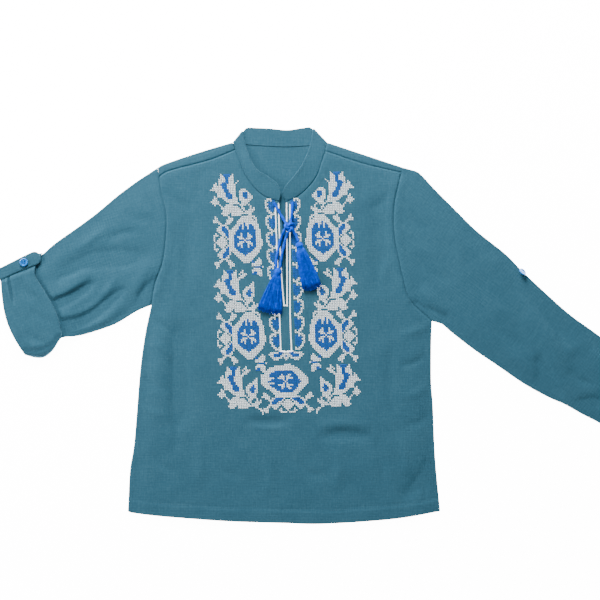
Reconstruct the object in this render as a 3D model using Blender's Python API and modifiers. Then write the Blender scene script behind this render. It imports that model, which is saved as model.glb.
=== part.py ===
"""A boy's embroidered linen shirt, lying flat on its back, in metres with +Z up.

The origin is on the underside of the back panel, on the centre line at chest height.
+X is the right of the shirt as it is seen from above, +Y points to the collar.
Every piece of cloth is a closed wall between an outer and an inner skin.
"""
import math

import bmesh
import bpy
import numpy as np
from mathutils import Vector
from mathutils.geometry import delaunay_2d_cdt

MM = 0.001

# Thickness and clearance
CLOTH = 1.2 * MM
COLLAR_CLOTH = 1.6 * MM
GAP = 0.3 * MM
SEAM = 0.35 * MM
STRIP_SEAM = 0.45 * MM
FOLD = CLOTH + GAP / 2
COLLAR_FOLD = COLLAR_CLOTH + GAP / 2
HEM_DEPTH = 26 * MM
HEM_STEP = 0.5 * MM
SLEEVE_HEM = 20 * MM
PANEL_SPACING = 17 * MM
BACK_SPACING = 60 * MM

# Loft of the upper layer over the lower one
PUFF = 1.5 * MM
PUFF_REACH = 28 * MM
LIFT_MOST = 3.3 * MM

# The rolled cuff of the left sleeve: turns lie round each other
TURNS = 2
TURN_PITCH = CLOTH + GAP
CUFF_RISE = TURNS * TURN_PITCH
CUFF_RADIUS = FOLD + CUFF_RISE
CUFF_AXIS = np.array([-0.958, -0.287])
RAMP_START = 268 * MM
RAMP_END = 296 * MM

# Roll-up tab and buttons
TAB_WIDTH = 19 * MM
TAB_TIP = np.array([-339.5, 96.5]) * MM
TAB_WAY = np.array([0.93, 0.3676])
TAB_REACH = 64 * MM
BUTTON_RADIUS = 5.75 * MM
LEFT_BUTTON = np.array([-362.5, 87.5]) * MM
RIGHT_BUTTON = np.array([331.5, 77.0]) * MM
BUTTON_TILT = math.radians(35)

# Neck tie
CORD = 4.0 * MM
KNOT_PLACE = np.array([7.7, 137.0]) * MM
KNOT_RADIUS = 8.0 * MM
KNOT_HEIGHT = 4.2 * MM
KNOT_RING = 5.2 * MM
KNOT_CORD = 1.9 * MM
STRAND_ROWS = {-0.8: 6, -0.4: 9, 0.0: 10, 0.4: 9, 0.8: 6}

# Outlines of the pieces laid flat, in millimetres; columns x, y
HEM = [(-218.5, -260.5), (-210.5, -263), (-166.5, -268), (-77, -274.5), (0, -277), (56, -278),
       (151, -271.5), (218.5, -260.5)]
LEFT_SIDE = [(-185.5, 28), (-194, -11), (-201.5, -66), (-209.5, -164), (-215.5, -203), (-218.5, -260.5)]
RIGHT_SIDE = [(207, 5.5), (206, -28), (206, -80), (208.5, -113.5), (211.5, -184), (218.5, -260.5)]
LEFT_SHOULDER = [(-72, 255.5), (-117.5, 242), (-165, 226), (-177, 220)]
RIGHT_SHOULDER = [(60.5, 255.5), (113, 238), (166, 220.5)]
LEFT_SHOULDER_SEAM = [(-68, 245), (-105, 230.5), (-160.5, 215.5), (-174.5, 207)]
RIGHT_SHOULDER_SEAM = [(57, 243.5), (110, 226), (164, 213)]
LEFT_ARMHOLE = [(-174.5, 207), (-172, 188), (-165, 156), (-165, 126), (-170, 87), (-180.5, 57.5),
                (-185.5, 28)]
RIGHT_ARMHOLE = [(164, 213), (154.5, 168), (154.5, 126), (162.5, 84), (173, 42), (186, 24), (207, 5.5)]
LEFT_SLEEVE_TOP = [(-177, 220), (-186, 214), (-206, 201), (-233, 181), (-268, 152), (-319, 115),
                   (-341.5, 96.5), (-367.5, 88), (-385.5, 80.5)]
LEFT_SLEEVE_LOW = [(-185.5, 28), (-205, 19.5), (-229.5, 4.5), (-246.5, -3), (-276, -12.5), (-293, -16),
                   (-303, -16.5), (-311, -18.3), (-318, -24.5), (-334, -35), (-350, -39)]
RIGHT_SLEEVE_TOP = [(166, 220.5), (183, 216), (193, 209.5), (213, 188), (242.5, 158.5), (270, 131.5),
                    (310.5, 99), (334.5, 74.5), (378, 34), (405, 11), (442.5, -16), (542, -91)]
RIGHT_SLEEVE_LOW = [(207, 5.5), (218.5, 1.5), (234.5, -12), (264.5, -35), (297, -57), (334.5, -82.5),
                    (369.5, -101.5), (391.5, -111), (416, -124.5), (442.5, -138), (493, -166.5)]
CUFF_TOP = [(-398.5, 76), (-385, 84.5), (-368, 93), (-351, 99.5), (-341, 101.5)]
CUFF_LOW = [(-364, -42.5), (-350, -42.5), (-333, -39.5), (-317, -31), (-309, -21.5)]
CUFF_MOUTH = [(-341, 101.5), (-347.5, 72.5), (-337.5, 53), (-325.5, 33), (-316.5, 14.5), (-310.5, -8.5),
              (-309, -21.5)]
SLIT_LEFT = [(-6.5, 173), (-5.5, 164), (-2, 140), (0, 100), (0.9, 60), (1.4, 28)]
SLIT_RIGHT = [(2.5, 172.5), (2.6, 164), (2.4, 140), (2.5, 100), (2.5, 60), (2.5, 28)]

# The collar band, from its sewn edge to its free edge, in millimetres; columns seam x, seam y, free x, free y
COLLAR_LEFT = [(-70.6, 254.4, -57.6, 270.4), (-68, 245, -55, 257), (-61, 227, -47, 233),
               (-53, 208, -37, 217), (-39.5, 190.5, -23, 208.5), (-25, 179.5, -9, 197),
               (-6.5, 173, -4.2, 184)]
COLLAR_RIGHT = [(59.2, 254.3, 40.7, 273.8), (57, 243.5, 38, 257), (52, 227, 32, 239),
                (45, 208, 23, 221), (31, 190.5, 11, 205), (18, 180, 2, 194.5), (2.5, 172.5, -2.3, 185)]
COLLAR_BACK = [(-70.6, 254.4, -57.6, 270.4), (-60, 253.3, -51.5, 276), (-45, 252, -37, 275.8),
               (-22, 250.5, -20, 275), (3, 249.5, 4, 272.8), (25, 250.5, 22, 275.2),
               (45, 252.5, 37.8, 277.3), (59.2, 254.3, 40.7, 273.8)]
COLLAR_RISE = 2.2 * MM

# Soft folds of the upper layer, in millimetres: start, bend and end, half width, height (troughs below 0)
FOLDS = [
    # name, x1, y1, x2, y2, x3, y3, width, height
    ("sleeve crease at the cuff", -325, 35, -297, 49, -275, 67, 8, -2.2),
    ("ridge beside the cuff crease", -318, 50, -292, 66, -268, 86, 9, 1.7),
    ("long sleeve crease", -316, 13, -277, 19, -225, 60, 9, -2.4),
    ("ridge below the long crease", -305, -5, -262, 4, -222, 38, 10, 1.8),
    ("soft forearm trough", -325, 84, -255, 106, -184, 108, 13, -1.6),
    ("underarm crease left", -205, 34, -192, 48, -176, 70, 7, -1.6),
    ("underarm ridge left", -214, 44, -198, 66, -183, 92, 9, 1.4),
    ("left body trough", -143, 10, -146, -70, -142, -150, 14, -1.8),
    ("left body ridge", -170, 20, -174, -60, -168, -140, 13, 1.5),
    ("waist crease right", 40, -150, 78, -147, 116, -152, 7, -1.4),
    ("waist crease left", -56, -133, -24, -136, 10, -134, 7, -1.3),
    ("hem shade right", 160, -244, 184, -226, 210, -192, 10, -1.5),
    ("underarm fold right", 176, 34, 190, 22, 204, 9, 6, -1.5),
    ("underarm ridge right", 190, 52, 208, 36, 226, 14, 9, 1.6),
    ("right elbow trough", 318, 64, 359, 31, 404, -32, 12, -1.9),
    ("right elbow ridge", 340, 20, 372, -22, 396, -70, 12, 1.5),
    ("right forearm crease", 351, -42, 368, -76, 386, -102, 8, -1.8),
    ("right wrist crease", 404, -112, 432, -106, 466, -118, 7, -1.4),
    ("right chest fold", 128, 180, 134, 110, 140, 40, 13, -1.2),
    ("left chest fold", -140, 186, -132, 120, -142, 50, 13, -1.2),
]

# Cord routes, in millimetres; columns x, y
LEFT_CORD_TOP = [(-14.0, 171.0), (-9.0, 162.5), (-4.0, 153.0), (2.6, 142.8)]
RIGHT_CORD_TOP = [(12.0, 172.0), (11.8, 164.0), (10.8, 154.0), (9.3, 144.6)]
LEFT_CORD_END = [(0.6, 132.6), (-4.4, 121.0), (-7.6, 107.0), (-10.6, 92.0), (-11.2, 80.4)]
LEFT_CORD_RETURN = [(5.3, 129.7), (1.2, 116.0), (-2.6, 100.0), (-4.2, 90.0), (-5.5, 80.1)]
RIGHT_CORD_END = [(13.3, 131.4), (17.0, 124.5), (20.1, 116.8)]

# Tassels: columns name, head x, head y, skirt end x, skirt end y (mm), half width at the end (mm)
# TASSEL_RISE is how far a cord's end climbs to meet its tassel
TASSEL_RISE = 1.5 * MM
TASSELS = [("tassel_left", -8.4, 74.0, -20.5, 17.5, 17.0), ("tassel_right", 21.6, 110.5, 41.0, 54.5, 12.5)]
HEAD_RADIUS = 5.4 * MM
HEAD_LENGTH = 6.0 * MM
HEAD_HEIGHT = 4.0 * MM

LINEN = (0.060, 0.196, 0.262)
ROYAL = (0.004, 0.072, 0.500)
BUTTON_BLUE = (0.16, 0.50, 0.72)


def clear_scene():
    """Remove every object the file starts with."""
    for thing in list(bpy.data.objects):
        bpy.data.objects.remove(thing, do_unlink=True)


def material(name, colour, roughness):
    """One Principled material with the piece's colour."""
    made = bpy.data.materials.new(name)
    made.use_nodes = True
    shader = made.node_tree.nodes["Principled BSDF"]
    shader.inputs["Base Color"].default_value = (*colour, 1.0)
    shader.inputs["Roughness"].default_value = roughness
    shader.inputs["Metallic"].default_value = 0.0
    return made


def smooth_line(points, count):
    """A smooth curve through the points, read at even steps of its length; points are in millimetres."""
    p = np.array(points, float) * MM
    ends = np.vstack([2 * p[0] - p[1], p, 2 * p[-1] - p[-2]])
    t = np.linspace(0, 1, 12, endpoint=False)[:, None]
    runs = []
    for i in range(len(p) - 1):
        a, b, c, d = ends[i:i + 4]
        runs.append(0.5 * (2 * b + (c - a) * t + (2 * a - 5 * b + 4 * c - d) * t**2
                           + (3 * b - a - 3 * c + d) * t**3))
    runs.append(p[-1:])
    dense = np.vstack(runs)
    along = np.r_[0, np.cumsum(np.linalg.norm(np.diff(dense, axis=0), axis=1))]
    want = count if isinstance(count, np.ndarray) else np.linspace(0, 1, count)
    return np.column_stack([np.interp(want * along[-1], along, dense[:, k]) for k in range(p.shape[1])])


def unit(vectors):
    """Vectors of length one."""
    return vectors / np.linalg.norm(vectors, axis=-1, keepdims=True)


def smoothstep(value):
    """0 below 0, 1 above 1, and a soft rise between."""
    t = np.clip(value, 0, 1)
    return t * t * (3 - 2 * t)


def line_distance(points, line):
    """Distance from each point to a polyline, and how far along the line the nearest place is, 0 to 1."""
    a, step = line[:-1], np.diff(line, axis=0)
    length2 = (step ** 2).sum(axis=1)
    rel = points[:, None, :] - a[None]
    t = np.clip((rel * step).sum(axis=2) / length2, 0, 1)
    away = np.linalg.norm(rel - t[..., None] * step, axis=2)
    best = away.argmin(axis=1)
    rows = np.arange(len(points))
    return away[rows, best], (best + t[rows, best]) / len(step)


def armhole(shoulder_point, curve, count):
    """The armhole seam from the shoulder fold to the underarm, with its own fold radius left at both ends."""
    top = smooth_line([shoulder_point, curve[0]], 3)
    line = np.vstack([top, smooth_line(curve, count)[1:]])
    line[0] += FOLD * unit(line[1] - line[0])
    line[-1] += FOLD * unit(line[-2] - line[-1])
    return line


LEFT_ARM = armhole(LEFT_SHOULDER[-1], LEFT_ARMHOLE, 12)
RIGHT_ARM = armhole(RIGHT_SHOULDER[-1], RIGHT_ARMHOLE, 12)

FOLD_EDGES = [smooth_line(points, 40) for points in
              (LEFT_SIDE, RIGHT_SIDE, LEFT_SHOULDER, RIGHT_SHOULDER, LEFT_SLEEVE_TOP, LEFT_SLEEVE_LOW,
               RIGHT_SLEEVE_TOP, RIGHT_SLEEVE_LOW)]


def lift(points):
    """Height of the upper layer's underside above its lowest place: a soft puff and the folds of the table."""
    points = np.atleast_2d(points)
    edge = np.min([line_distance(points, line)[0] for line in FOLD_EDGES], axis=0)
    rise = PUFF * smoothstep((edge - FOLD) / PUFF_REACH)
    near_edge = smoothstep((edge - FOLD) / (10 * MM))
    for _, x1, y1, x2, y2, x3, y3, width, height in FOLDS:
        away, along = line_distance(points, smooth_line([(x1, y1), (x2, y2), (x3, y3)], 9))
        shape = np.exp(-(away / (width * MM)) ** 2) * np.sin(math.pi * np.clip(along, 0, 1)) ** 0.7
        rise = rise + height * MM * shape * near_edge
    return LIFT_MOST * np.tanh(np.maximum(rise, 0) / LIFT_MOST)


def underside(points):
    """Height of the upper layer's inner skin."""
    return CLOTH + GAP + lift(points)


def top_of_front(points):
    """Height of the front's outer skin."""
    return underside(points) + CLOTH


def finish(name, mesh, look):
    """Link the mesh as one object, faces outwards, smooth but for its edges."""
    bm = bmesh.new()
    bm.from_mesh(mesh)
    bmesh.ops.recalc_face_normals(bm, faces=bm.faces)
    bm.to_mesh(mesh)
    bm.free()
    mesh.shade_smooth()
    mesh.set_sharp_from_angle(angle=math.radians(40))
    made = bpy.data.objects.new(name, mesh)
    made.data.materials.append(look)
    SHIRT.objects.link(made)
    return made


def wall(name, outer, inner, faces, look):
    """A closed wall between two skins with the same faces; the open edges are closed with a rim."""
    count = len(outer)
    used = {(a, b) for face in faces for a, b in zip(face, face[1:] + face[:1])}
    rim = [(b, a, a + count, b + count) for a, b in used if (b, a) not in used]
    back = [tuple(i + count for i in reversed(face)) for face in faces]
    mesh = bpy.data.meshes.new(name)
    mesh.from_pydata(np.vstack([outer, inner]).tolist(), [], list(faces) + back + sorted(rim))
    return finish(name, mesh, look)


def grid_faces(rows, columns, closed=False):
    """Quads of a grid; a closed grid joins its last column to its first."""
    faces = []
    for i in range(rows - 1):
        for j in range(columns if closed else columns - 1):
            k = (j + 1) % columns
            faces.append((i * columns + j, i * columns + k, (i + 1) * columns + k, (i + 1) * columns + j))
    return faces


def inset(outline, gaps):
    """Move each edge of a counter-clockwise outline inwards by its own gap."""
    way = unit(np.roll(outline, -1, axis=0) - outline)
    normal = np.column_stack([-way[:, 1], way[:, 0]])
    before, gap_before = np.roll(normal, 1, axis=0), np.roll(gaps, 1)
    moved = outline.copy()
    for i, (n1, n2, g1, g2) in enumerate(zip(before, normal, gap_before, gaps)):
        turn = n1[0] * n2[1] - n1[1] * n2[0]
        if abs(turn) < 0.08:
            moved[i] += unit(n1 + n2) * max(g1, g2)
        else:
            moved[i] += np.linalg.solve([n1, n2], [g1, g2])
    return moved


def triangles(rim, spacing, lines=()):
    """Flat triangles inside a rim, on evenly spread points, with the given lines kept as edges."""
    low, high = rim.min(axis=0), rim.max(axis=0)
    rows = np.arange(low[1], high[1], spacing * 0.866)
    spread = [np.column_stack([np.arange(low[0] + (k % 2) * spacing / 2, high[0], spacing),
                               np.full(len(np.arange(low[0] + (k % 2) * spacing / 2, high[0], spacing)), y)])
              for k, y in enumerate(rows)]
    grid = np.vstack(spread)
    away = line_distance(grid, np.vstack([rim, rim[:1]]))[0]
    for line in lines:
        away = np.minimum(away, line_distance(grid, line)[0] + 0.1 * spacing)
    nxt = np.roll(rim, -1, axis=0)
    crossing = (rim[None, :, 1] > grid[:, 1, None]) != (nxt[None, :, 1] > grid[:, 1, None])
    slope = (grid[:, 1, None] - rim[None, :, 1]) / np.where(nxt[:, 1] == rim[:, 1], 1, nxt[:, 1] - rim[:, 1])
    reach = rim[None, :, 0] + slope * (nxt[:, 0] - rim[:, 0])
    inside = (crossing & (grid[:, 0, None] < reach)).sum(axis=1) % 2 == 1
    grid = grid[inside & (away > 0.55 * spacing)]
    points = np.vstack([rim, *lines, grid])
    edges = [(i, (i + 1) % len(rim)) for i in range(len(rim))]
    start = len(rim)
    for line in lines:
        edges += [(start + i, start + i + 1) for i in range(len(line) - 1)]
        start += len(line)
    made = delaunay_2d_cdt([Vector(p / MM) for p in points], edges, [], 1, 1e-5)
    source = [origin[0] for origin in made[3]]
    faces = [tuple(source[i] for i in face) for face in made[2]]
    return points, faces


def stack(points, height):
    """Points in space from flat points and a height for each."""
    return np.column_stack([points, np.broadcast_to(height, len(points))])


def collar_line(table, first, rest):
    """Stations of one half of the collar: its sewn edge and its free edge, sampled together."""
    head = smooth_line(table[:2], first)
    return np.vstack([head, smooth_line(table[1:], rest)[1:]])


LEFT_BAND = collar_line(COLLAR_LEFT, 3, 13)
RIGHT_BAND = collar_line(COLLAR_RIGHT, 3, 13)
BACK_BAND = smooth_line(COLLAR_BACK, 15)
SHOULDER_COLUMNS = 9


def shoulder_lines():
    """The fold and the seam of both shoulders, sampled alike from the neck to the armhole."""
    return ((smooth_line(LEFT_SHOULDER, SHOULDER_COLUMNS), smooth_line(LEFT_SHOULDER_SEAM, SHOULDER_COLUMNS)),
            (smooth_line(RIGHT_SHOULDER, SHOULDER_COLUMNS), smooth_line(RIGHT_SHOULDER_SEAM, SHOULDER_COLUMNS)))


def joined_outline(runs):
    """One outline from runs of points, each with the gap of its edges; shared ends are dropped."""
    points, gaps = [], []
    for line, gap in runs:
        points.append(line[:-1])
        gaps.append(np.full(len(line) - 1, gap))
    return np.vstack(points), np.concatenate(gaps)


def lower_columns(count):
    """The columns that the lower layer of a tube keeps: every second one and the last."""
    return list(range(0, count - 2, 2)) + [count - 1]


def full_armhole(arm, curve):
    """The armhole seam with its fold radius filled in again at the underarm."""
    return np.vstack([arm[:-1], np.array([curve[-1]]) * MM])


def make_front(look):
    """The front: one wall over the back, cut out at the neck and slit down the middle, with a deep hem."""
    (_, left_seam), (_, right_seam) = shoulder_lines()
    hem = smooth_line(HEM, 26)
    left_arm = full_armhole(LEFT_ARM, LEFT_ARMHOLE)[2:]
    right_arm = full_armhole(RIGHT_ARM, RIGHT_ARMHOLE)[2:]
    slit_left, slit_right = smooth_line(SLIT_LEFT, 9), smooth_line(SLIT_RIGHT, 9)
    rim, gaps = joined_outline([
        (hem, 0.0), (smooth_line(RIGHT_SIDE, 15)[::-1], 0.0), (right_arm[::-1], SEAM), (right_seam[::-1], SEAM),
        (RIGHT_BAND[2:, :2], SEAM), (slit_right, 0.0), (np.vstack([slit_right[-1], slit_left[-1]]), 0.0),
        (slit_left[::-1], 0.0), (LEFT_BAND[2:, :2][::-1], SEAM), (left_seam, SEAM), (left_arm, SEAM),
        (smooth_line(LEFT_SIDE, 15), 0.0)])
    rim = inset(rim, gaps)
    side = 5 * MM
    lines = []
    for depth in (HEM_DEPTH, HEM_DEPTH + 1 * MM):
        line = smooth_line(HEM, 22)[1:-1] + [0, depth]
        line[:, 0] = np.clip(line[:, 0], -215 * MM + side, 213 * MM - side)
        lines.append(line)
    points, faces = triangles(rim, PANEL_SPACING, lines)
    inner = underside(points)
    hem_line = np.interp(points[:, 0], hem[:, 0], hem[:, 1])
    step = HEM_STEP * (points[:, 1] - hem_line < HEM_DEPTH + 0.4 * MM)
    return wall("front", stack(points, inner + CLOTH + step), stack(points, inner), faces, look)


def make_back(look):
    """The back: a flat wall that runs over both shoulder folds to the forward shoulder seams."""
    (left_fold, left_seam), (right_fold, right_seam) = shoulder_lines()
    kept = lower_columns(len(LEFT_ARM))
    left_arm = full_armhole(LEFT_ARM, LEFT_ARMHOLE)[kept]
    right_arm = full_armhole(RIGHT_ARM, RIGHT_ARMHOLE)[kept]
    left_arm[0], right_arm[0] = left_fold[-1], right_fold[-1]
    for fold in (left_fold, right_fold):
        fold[0] += unit(fold[1] - fold[0]) * SEAM
    hem = smooth_line(HEM, 26)
    neck = np.vstack([left_fold[:1], BACK_BAND[:, :2], right_fold[:1]])
    runs = [(hem, 0.0), (smooth_line(RIGHT_SIDE, 15)[::-1], 0.0), (right_arm[::-1], SEAM),
            (right_fold[::-1], FOLD), (neck[::-1], SEAM), (left_fold, FOLD), (left_arm, SEAM),
            (smooth_line(LEFT_SIDE, 15), 0.0)]
    outline, gaps = joined_outline(runs)
    rim = inset(outline, gaps)
    starts = np.cumsum([0] + [len(line) - 1 for line, _ in runs])
    points, faces = triangles(rim, BACK_SPACING)
    outer, inner = [stack(points, 0.0)], [stack(points, CLOTH)]
    count = len(points)
    right_ids = list(range(starts[3], starts[4] + 1))[::-1]
    left_ids = list(range(starts[5], starts[6] + 1))
    for ids, fold, seam, arm in ((left_ids, left_fold, left_seam, left_arm),
                                 (right_ids, right_fold, right_seam, right_arm)):
        centre = rim[ids]
        out = unit(fold - centre)
        out[-1] = unit(arm[0] - arm[1])
        edge = seam.copy()
        edge[0] += unit(seam[1] - seam[0]) * STRIP_SEAM
        edge[-1] += unit(seam[-2] - seam[-1]) * STRIP_SEAM
        rows_outer, rows_inner = [], []
        for turn in (-35, 20, 90):
            angle = math.radians(turn)
            flat = math.cos(angle)
            rows_outer.append(stack(centre + out * FOLD * flat, FOLD + FOLD * math.sin(angle)))
            rows_inner.append(stack(centre + out * (FOLD - CLOTH) * flat,
                                    FOLD + (FOLD - CLOTH) * math.sin(angle)))
        for part in (0.5, 1.0):
            flat = centre + (edge - centre) * part
            height = underside(flat)
            rows_outer.append(stack(flat, height + CLOTH))
            rows_inner.append(stack(flat, height))
        columns = len(ids)
        table = [list(ids)] + [list(range(count + k * columns, count + (k + 1) * columns)) for k in range(5)]
        for low, high in zip(table[:-1], table[1:]):
            faces += [(low[j], low[j + 1], high[j + 1], high[j]) for j in range(columns - 1)]
        outer += rows_outer
        inner += rows_inner
        count += 5 * columns
    return wall("back", np.vstack(outer), np.vstack(inner), match_sides(faces), look)


def match_sides(faces):
    """Turn faces so that neighbours run round the same way, starting from the first face."""
    by_edge = {}
    for index, face in enumerate(faces):
        for a, b in zip(face, face[1:] + face[:1]):
            by_edge.setdefault(frozenset((a, b)), []).append(index)
    done, queue, result = {0}, [0], list(faces)
    while queue:
        face = result[queue.pop()]
        for a, b in zip(face, face[1:] + face[:1]):
            for other in by_edge[frozenset((a, b))]:
                if other in done:
                    continue
                ring = result[other]
                if (a, b) in zip(ring, ring[1:] + ring[:1]):
                    result[other] = tuple(reversed(ring))
                done.add(other)
                queue.append(other)
    return result


def coons(top, low, start, end):
    """A flat patch between four edges: top and low run along it, start and end across it."""
    u = np.linspace(0, 1, len(top))[:, None, None]
    v = np.r_[0, np.cumsum(np.linalg.norm(np.diff(start, axis=0), axis=1))]
    v = (v / v[-1])[None, :, None]
    across = (1 - v) * top[:, None] + v * low[:, None]
    along = (1 - u) * start[None] + u * end[None]
    corners = ((1 - u) * ((1 - v) * start[0] + v * start[-1]) + u * ((1 - v) * end[0] + v * end[-1]))
    return across + along - corners


def tube(name, patch, radius, base, top_under, look, skins=CLOTH, hem=None):
    """A flattened tube: an upper layer over the patch, a flat lower layer and a rounded fold on each side.

    The patch is the tube's flat middle, base the height of the lower layer's outer skin and top_under
    that of the upper layer's inner skin, both for every place of the patch.
    """
    stations, columns, _ = patch.shape
    left = unit(patch[:, 0] - patch[:, 1])
    right = unit(patch[:, -1] - patch[:, -2])
    extra = np.zeros(stations) if hem is None else hem
    rings_outer, rings_inner = [], []
    for i in range(stations):
        outer = [(*patch[i, j], top_under[i, j] + skins + extra[i]) for j in range(columns)]
        inner = [(*patch[i, j], top_under[i, j]) for j in range(columns)]
        for side, column in ((right[i], -1), (left[i], 0)):
            angles = (30, -30) if column == -1 else (-30, 30)
            if column == 0:
                for j in reversed(lower_columns(columns)):
                    outer.append((*patch[i, j], base[i, j]))
                    inner.append((*patch[i, j], base[i, j] + skins))
            centre = base[i, column] + radius
            for turn in angles:
                angle = math.radians(turn)
                flat, rise = math.cos(angle), math.sin(angle)
                outer.append((*(patch[i, column] + side * radius * flat), centre + radius * rise))
                inner.append((*(patch[i, column] + side * (radius - skins) * flat),
                              centre + (radius - skins) * rise))
        rings_outer.append(outer)
        rings_inner.append(inner)
    ring = len(rings_outer[0])
    return wall(name, np.array(rings_outer).reshape(-1, 3), np.array(rings_inner).reshape(-1, 3),
                grid_faces(stations, ring, closed=True), look)


def sleeve_patch(top, low, arm, steps):
    """The flat middle of a sleeve, from the armhole seam to its lower end."""
    side = 1 if low[0][0] > 0 else -1
    upper, lower = smooth_line(top, steps), smooth_line(low, steps)
    upper = upper + FOLD * unit(np.gradient(upper, axis=0))[:, ::-1] * [side, -side]
    lower = lower - FOLD * unit(np.gradient(lower, axis=0))[:, ::-1] * [side, -side]
    upper[0], lower[0] = arm[0], arm[-1]
    share = np.linspace(0, 1, len(arm))[:, None]
    end = upper[-1] + (lower[-1] - upper[-1]) * share
    return coons(upper, lower, arm, end)


def make_left_sleeve(look):
    """The left sleeve: it climbs a little to run into its own turned-up end."""
    patch = sleeve_patch(LEFT_SLEEVE_TOP, LEFT_SLEEVE_LOW, LEFT_ARM, 19)
    reach = (patch @ CUFF_AXIS).max(axis=1, keepdims=True)
    rise = lift(patch.reshape(-1, 2)).reshape(patch.shape[:2])
    ramp = smoothstep((reach - RAMP_START) / (RAMP_END - RAMP_START)) * np.ones(rise.shape)
    base = CUFF_RISE * ramp
    return tube("sleeve_left", patch, FOLD, base, base + CLOTH + GAP + rise * (1 - ramp), look)


def make_right_sleeve(look):
    """The right sleeve, laid out to its full length, with a plain narrow hem."""
    length = np.linalg.norm(np.diff(np.array(RIGHT_SLEEVE_TOP), axis=0), axis=1).sum() * MM
    steps = np.r_[np.linspace(0, 1 - SLEEVE_HEM / length - 0.012, 18), 1 - SLEEVE_HEM / length - 0.003,
                  1 - SLEEVE_HEM / length, 1.0]
    patch = sleeve_patch(RIGHT_SLEEVE_TOP, RIGHT_SLEEVE_LOW, RIGHT_ARM, steps)
    rise = lift(patch.reshape(-1, 2)).reshape(patch.shape[:2])
    hem = HEM_STEP * 0.8 * (steps >= 1 - SLEEVE_HEM / length - 1e-6)
    return tube("sleeve_right", patch, FOLD, np.zeros(rise.shape), CLOTH + GAP + rise, look, hem=hem)


def make_turns(look):
    """The turned-up end of the left sleeve: turns of cloth that lie round the sleeve and each other."""
    steps = 6
    top, low = smooth_line(CUFF_TOP, steps)[::-1], smooth_line(CUFF_LOW, steps)[::-1]
    mouth = smooth_line(CUFF_MOUTH, 11)
    top = top + CUFF_RADIUS * unit(np.gradient(top, axis=0))[:, ::-1] * [-1, 1]
    low = low - CUFF_RADIUS * unit(np.gradient(low, axis=0))[:, ::-1] * [-1, 1]
    inner_edge = mouth.copy()
    inner_edge[0], inner_edge[-1] = top[0], low[0]
    share = np.linspace(0, 1, len(mouth))[:, None]
    outer_edge = top[-1] + (low[-1] - top[-1]) * share
    patch = coons(top, low, inner_edge, outer_edge)
    made = []
    for turn in range(TURNS):
        radius = CUFF_RADIUS - TURN_PITCH * (TURNS - 1 - turn)
        base = CUFF_RADIUS - radius
        body = patch
        if turn < TURNS - 1:
            share = np.linspace(0.06, 0.95, steps)
            index = share * (steps - 1)
            whole = np.minimum(index.astype(int), steps - 2)
            part = (index - whole)[:, None, None]
            body = patch[whole] * (1 - part) + patch[whole + 1] * part
        flat = np.full(body.shape[:2], base)
        under = np.full(body.shape[:2], base + 2 * radius - CLOTH)
        made.append(tube(f"sleeve_left_turn_{turn + 1}", body, radius, flat, under, look))
    return made


def make_collar(look):
    """The stand collar: one band round the neck, folded flat on both sides and open in front."""
    shares = np.array([0.0, 0.35, 0.7, 1.0])[:, None]
    outer, inner = [], []

    def add(seam, free, out_z, in_z, out_move=(0, 0), in_move=(0, 0)):
        line = seam + (free - seam) * shares
        outer.append(stack(line + out_move, out_z))
        inner.append(stack(line + in_move, in_z))

    def front_half(band):
        rows = []
        for k, row in enumerate(band):
            seam, free = row[:2], row[2:]
            part = smoothstep(np.array(k / (len(band) - 1) * 1.6))
            base = max(float(underside(seam[None])[0]), COLLAR_CLOTH + GAP)
            base = (1 - part) * (COLLAR_CLOTH + GAP) + part * base
            rows.append((seam, free, base + part * COLLAR_RISE * shares[:, 0]))
        return rows

    def fold_rows(band, side):
        seam, free = band[0, :2], band[0, 2:]
        way = unit(free - seam)
        out = np.array([-way[1], way[0]]) * side
        return seam, free, out

    for seam, free, height in reversed(front_half(LEFT_BAND)):
        add(seam, free, height + COLLAR_CLOTH, height)
    for band, side, angles in ((LEFT_BAND, 1, (35, -35)), (RIGHT_BAND, -1, (-35, 35))):
        if side == -1:
            for row in BACK_BAND:
                add(row[:2], row[2:], 0.0, COLLAR_CLOTH)
        seam, free, out = fold_rows(band, side)
        for turn in angles:
            angle = math.radians(turn)
            flat = math.cos(angle)
            rise = math.sin(angle)
            add(seam, free, COLLAR_FOLD * (1 + rise), COLLAR_FOLD + (COLLAR_FOLD - COLLAR_CLOTH) * rise,
                out * COLLAR_FOLD * flat, out * (COLLAR_FOLD - COLLAR_CLOTH) * flat)
    for seam, free, height in front_half(RIGHT_BAND):
        add(seam, free, height + COLLAR_CLOTH, height)
    return wall("collar", np.vstack(outer), np.vstack(inner), grid_faces(len(outer), len(shares)), look)


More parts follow.
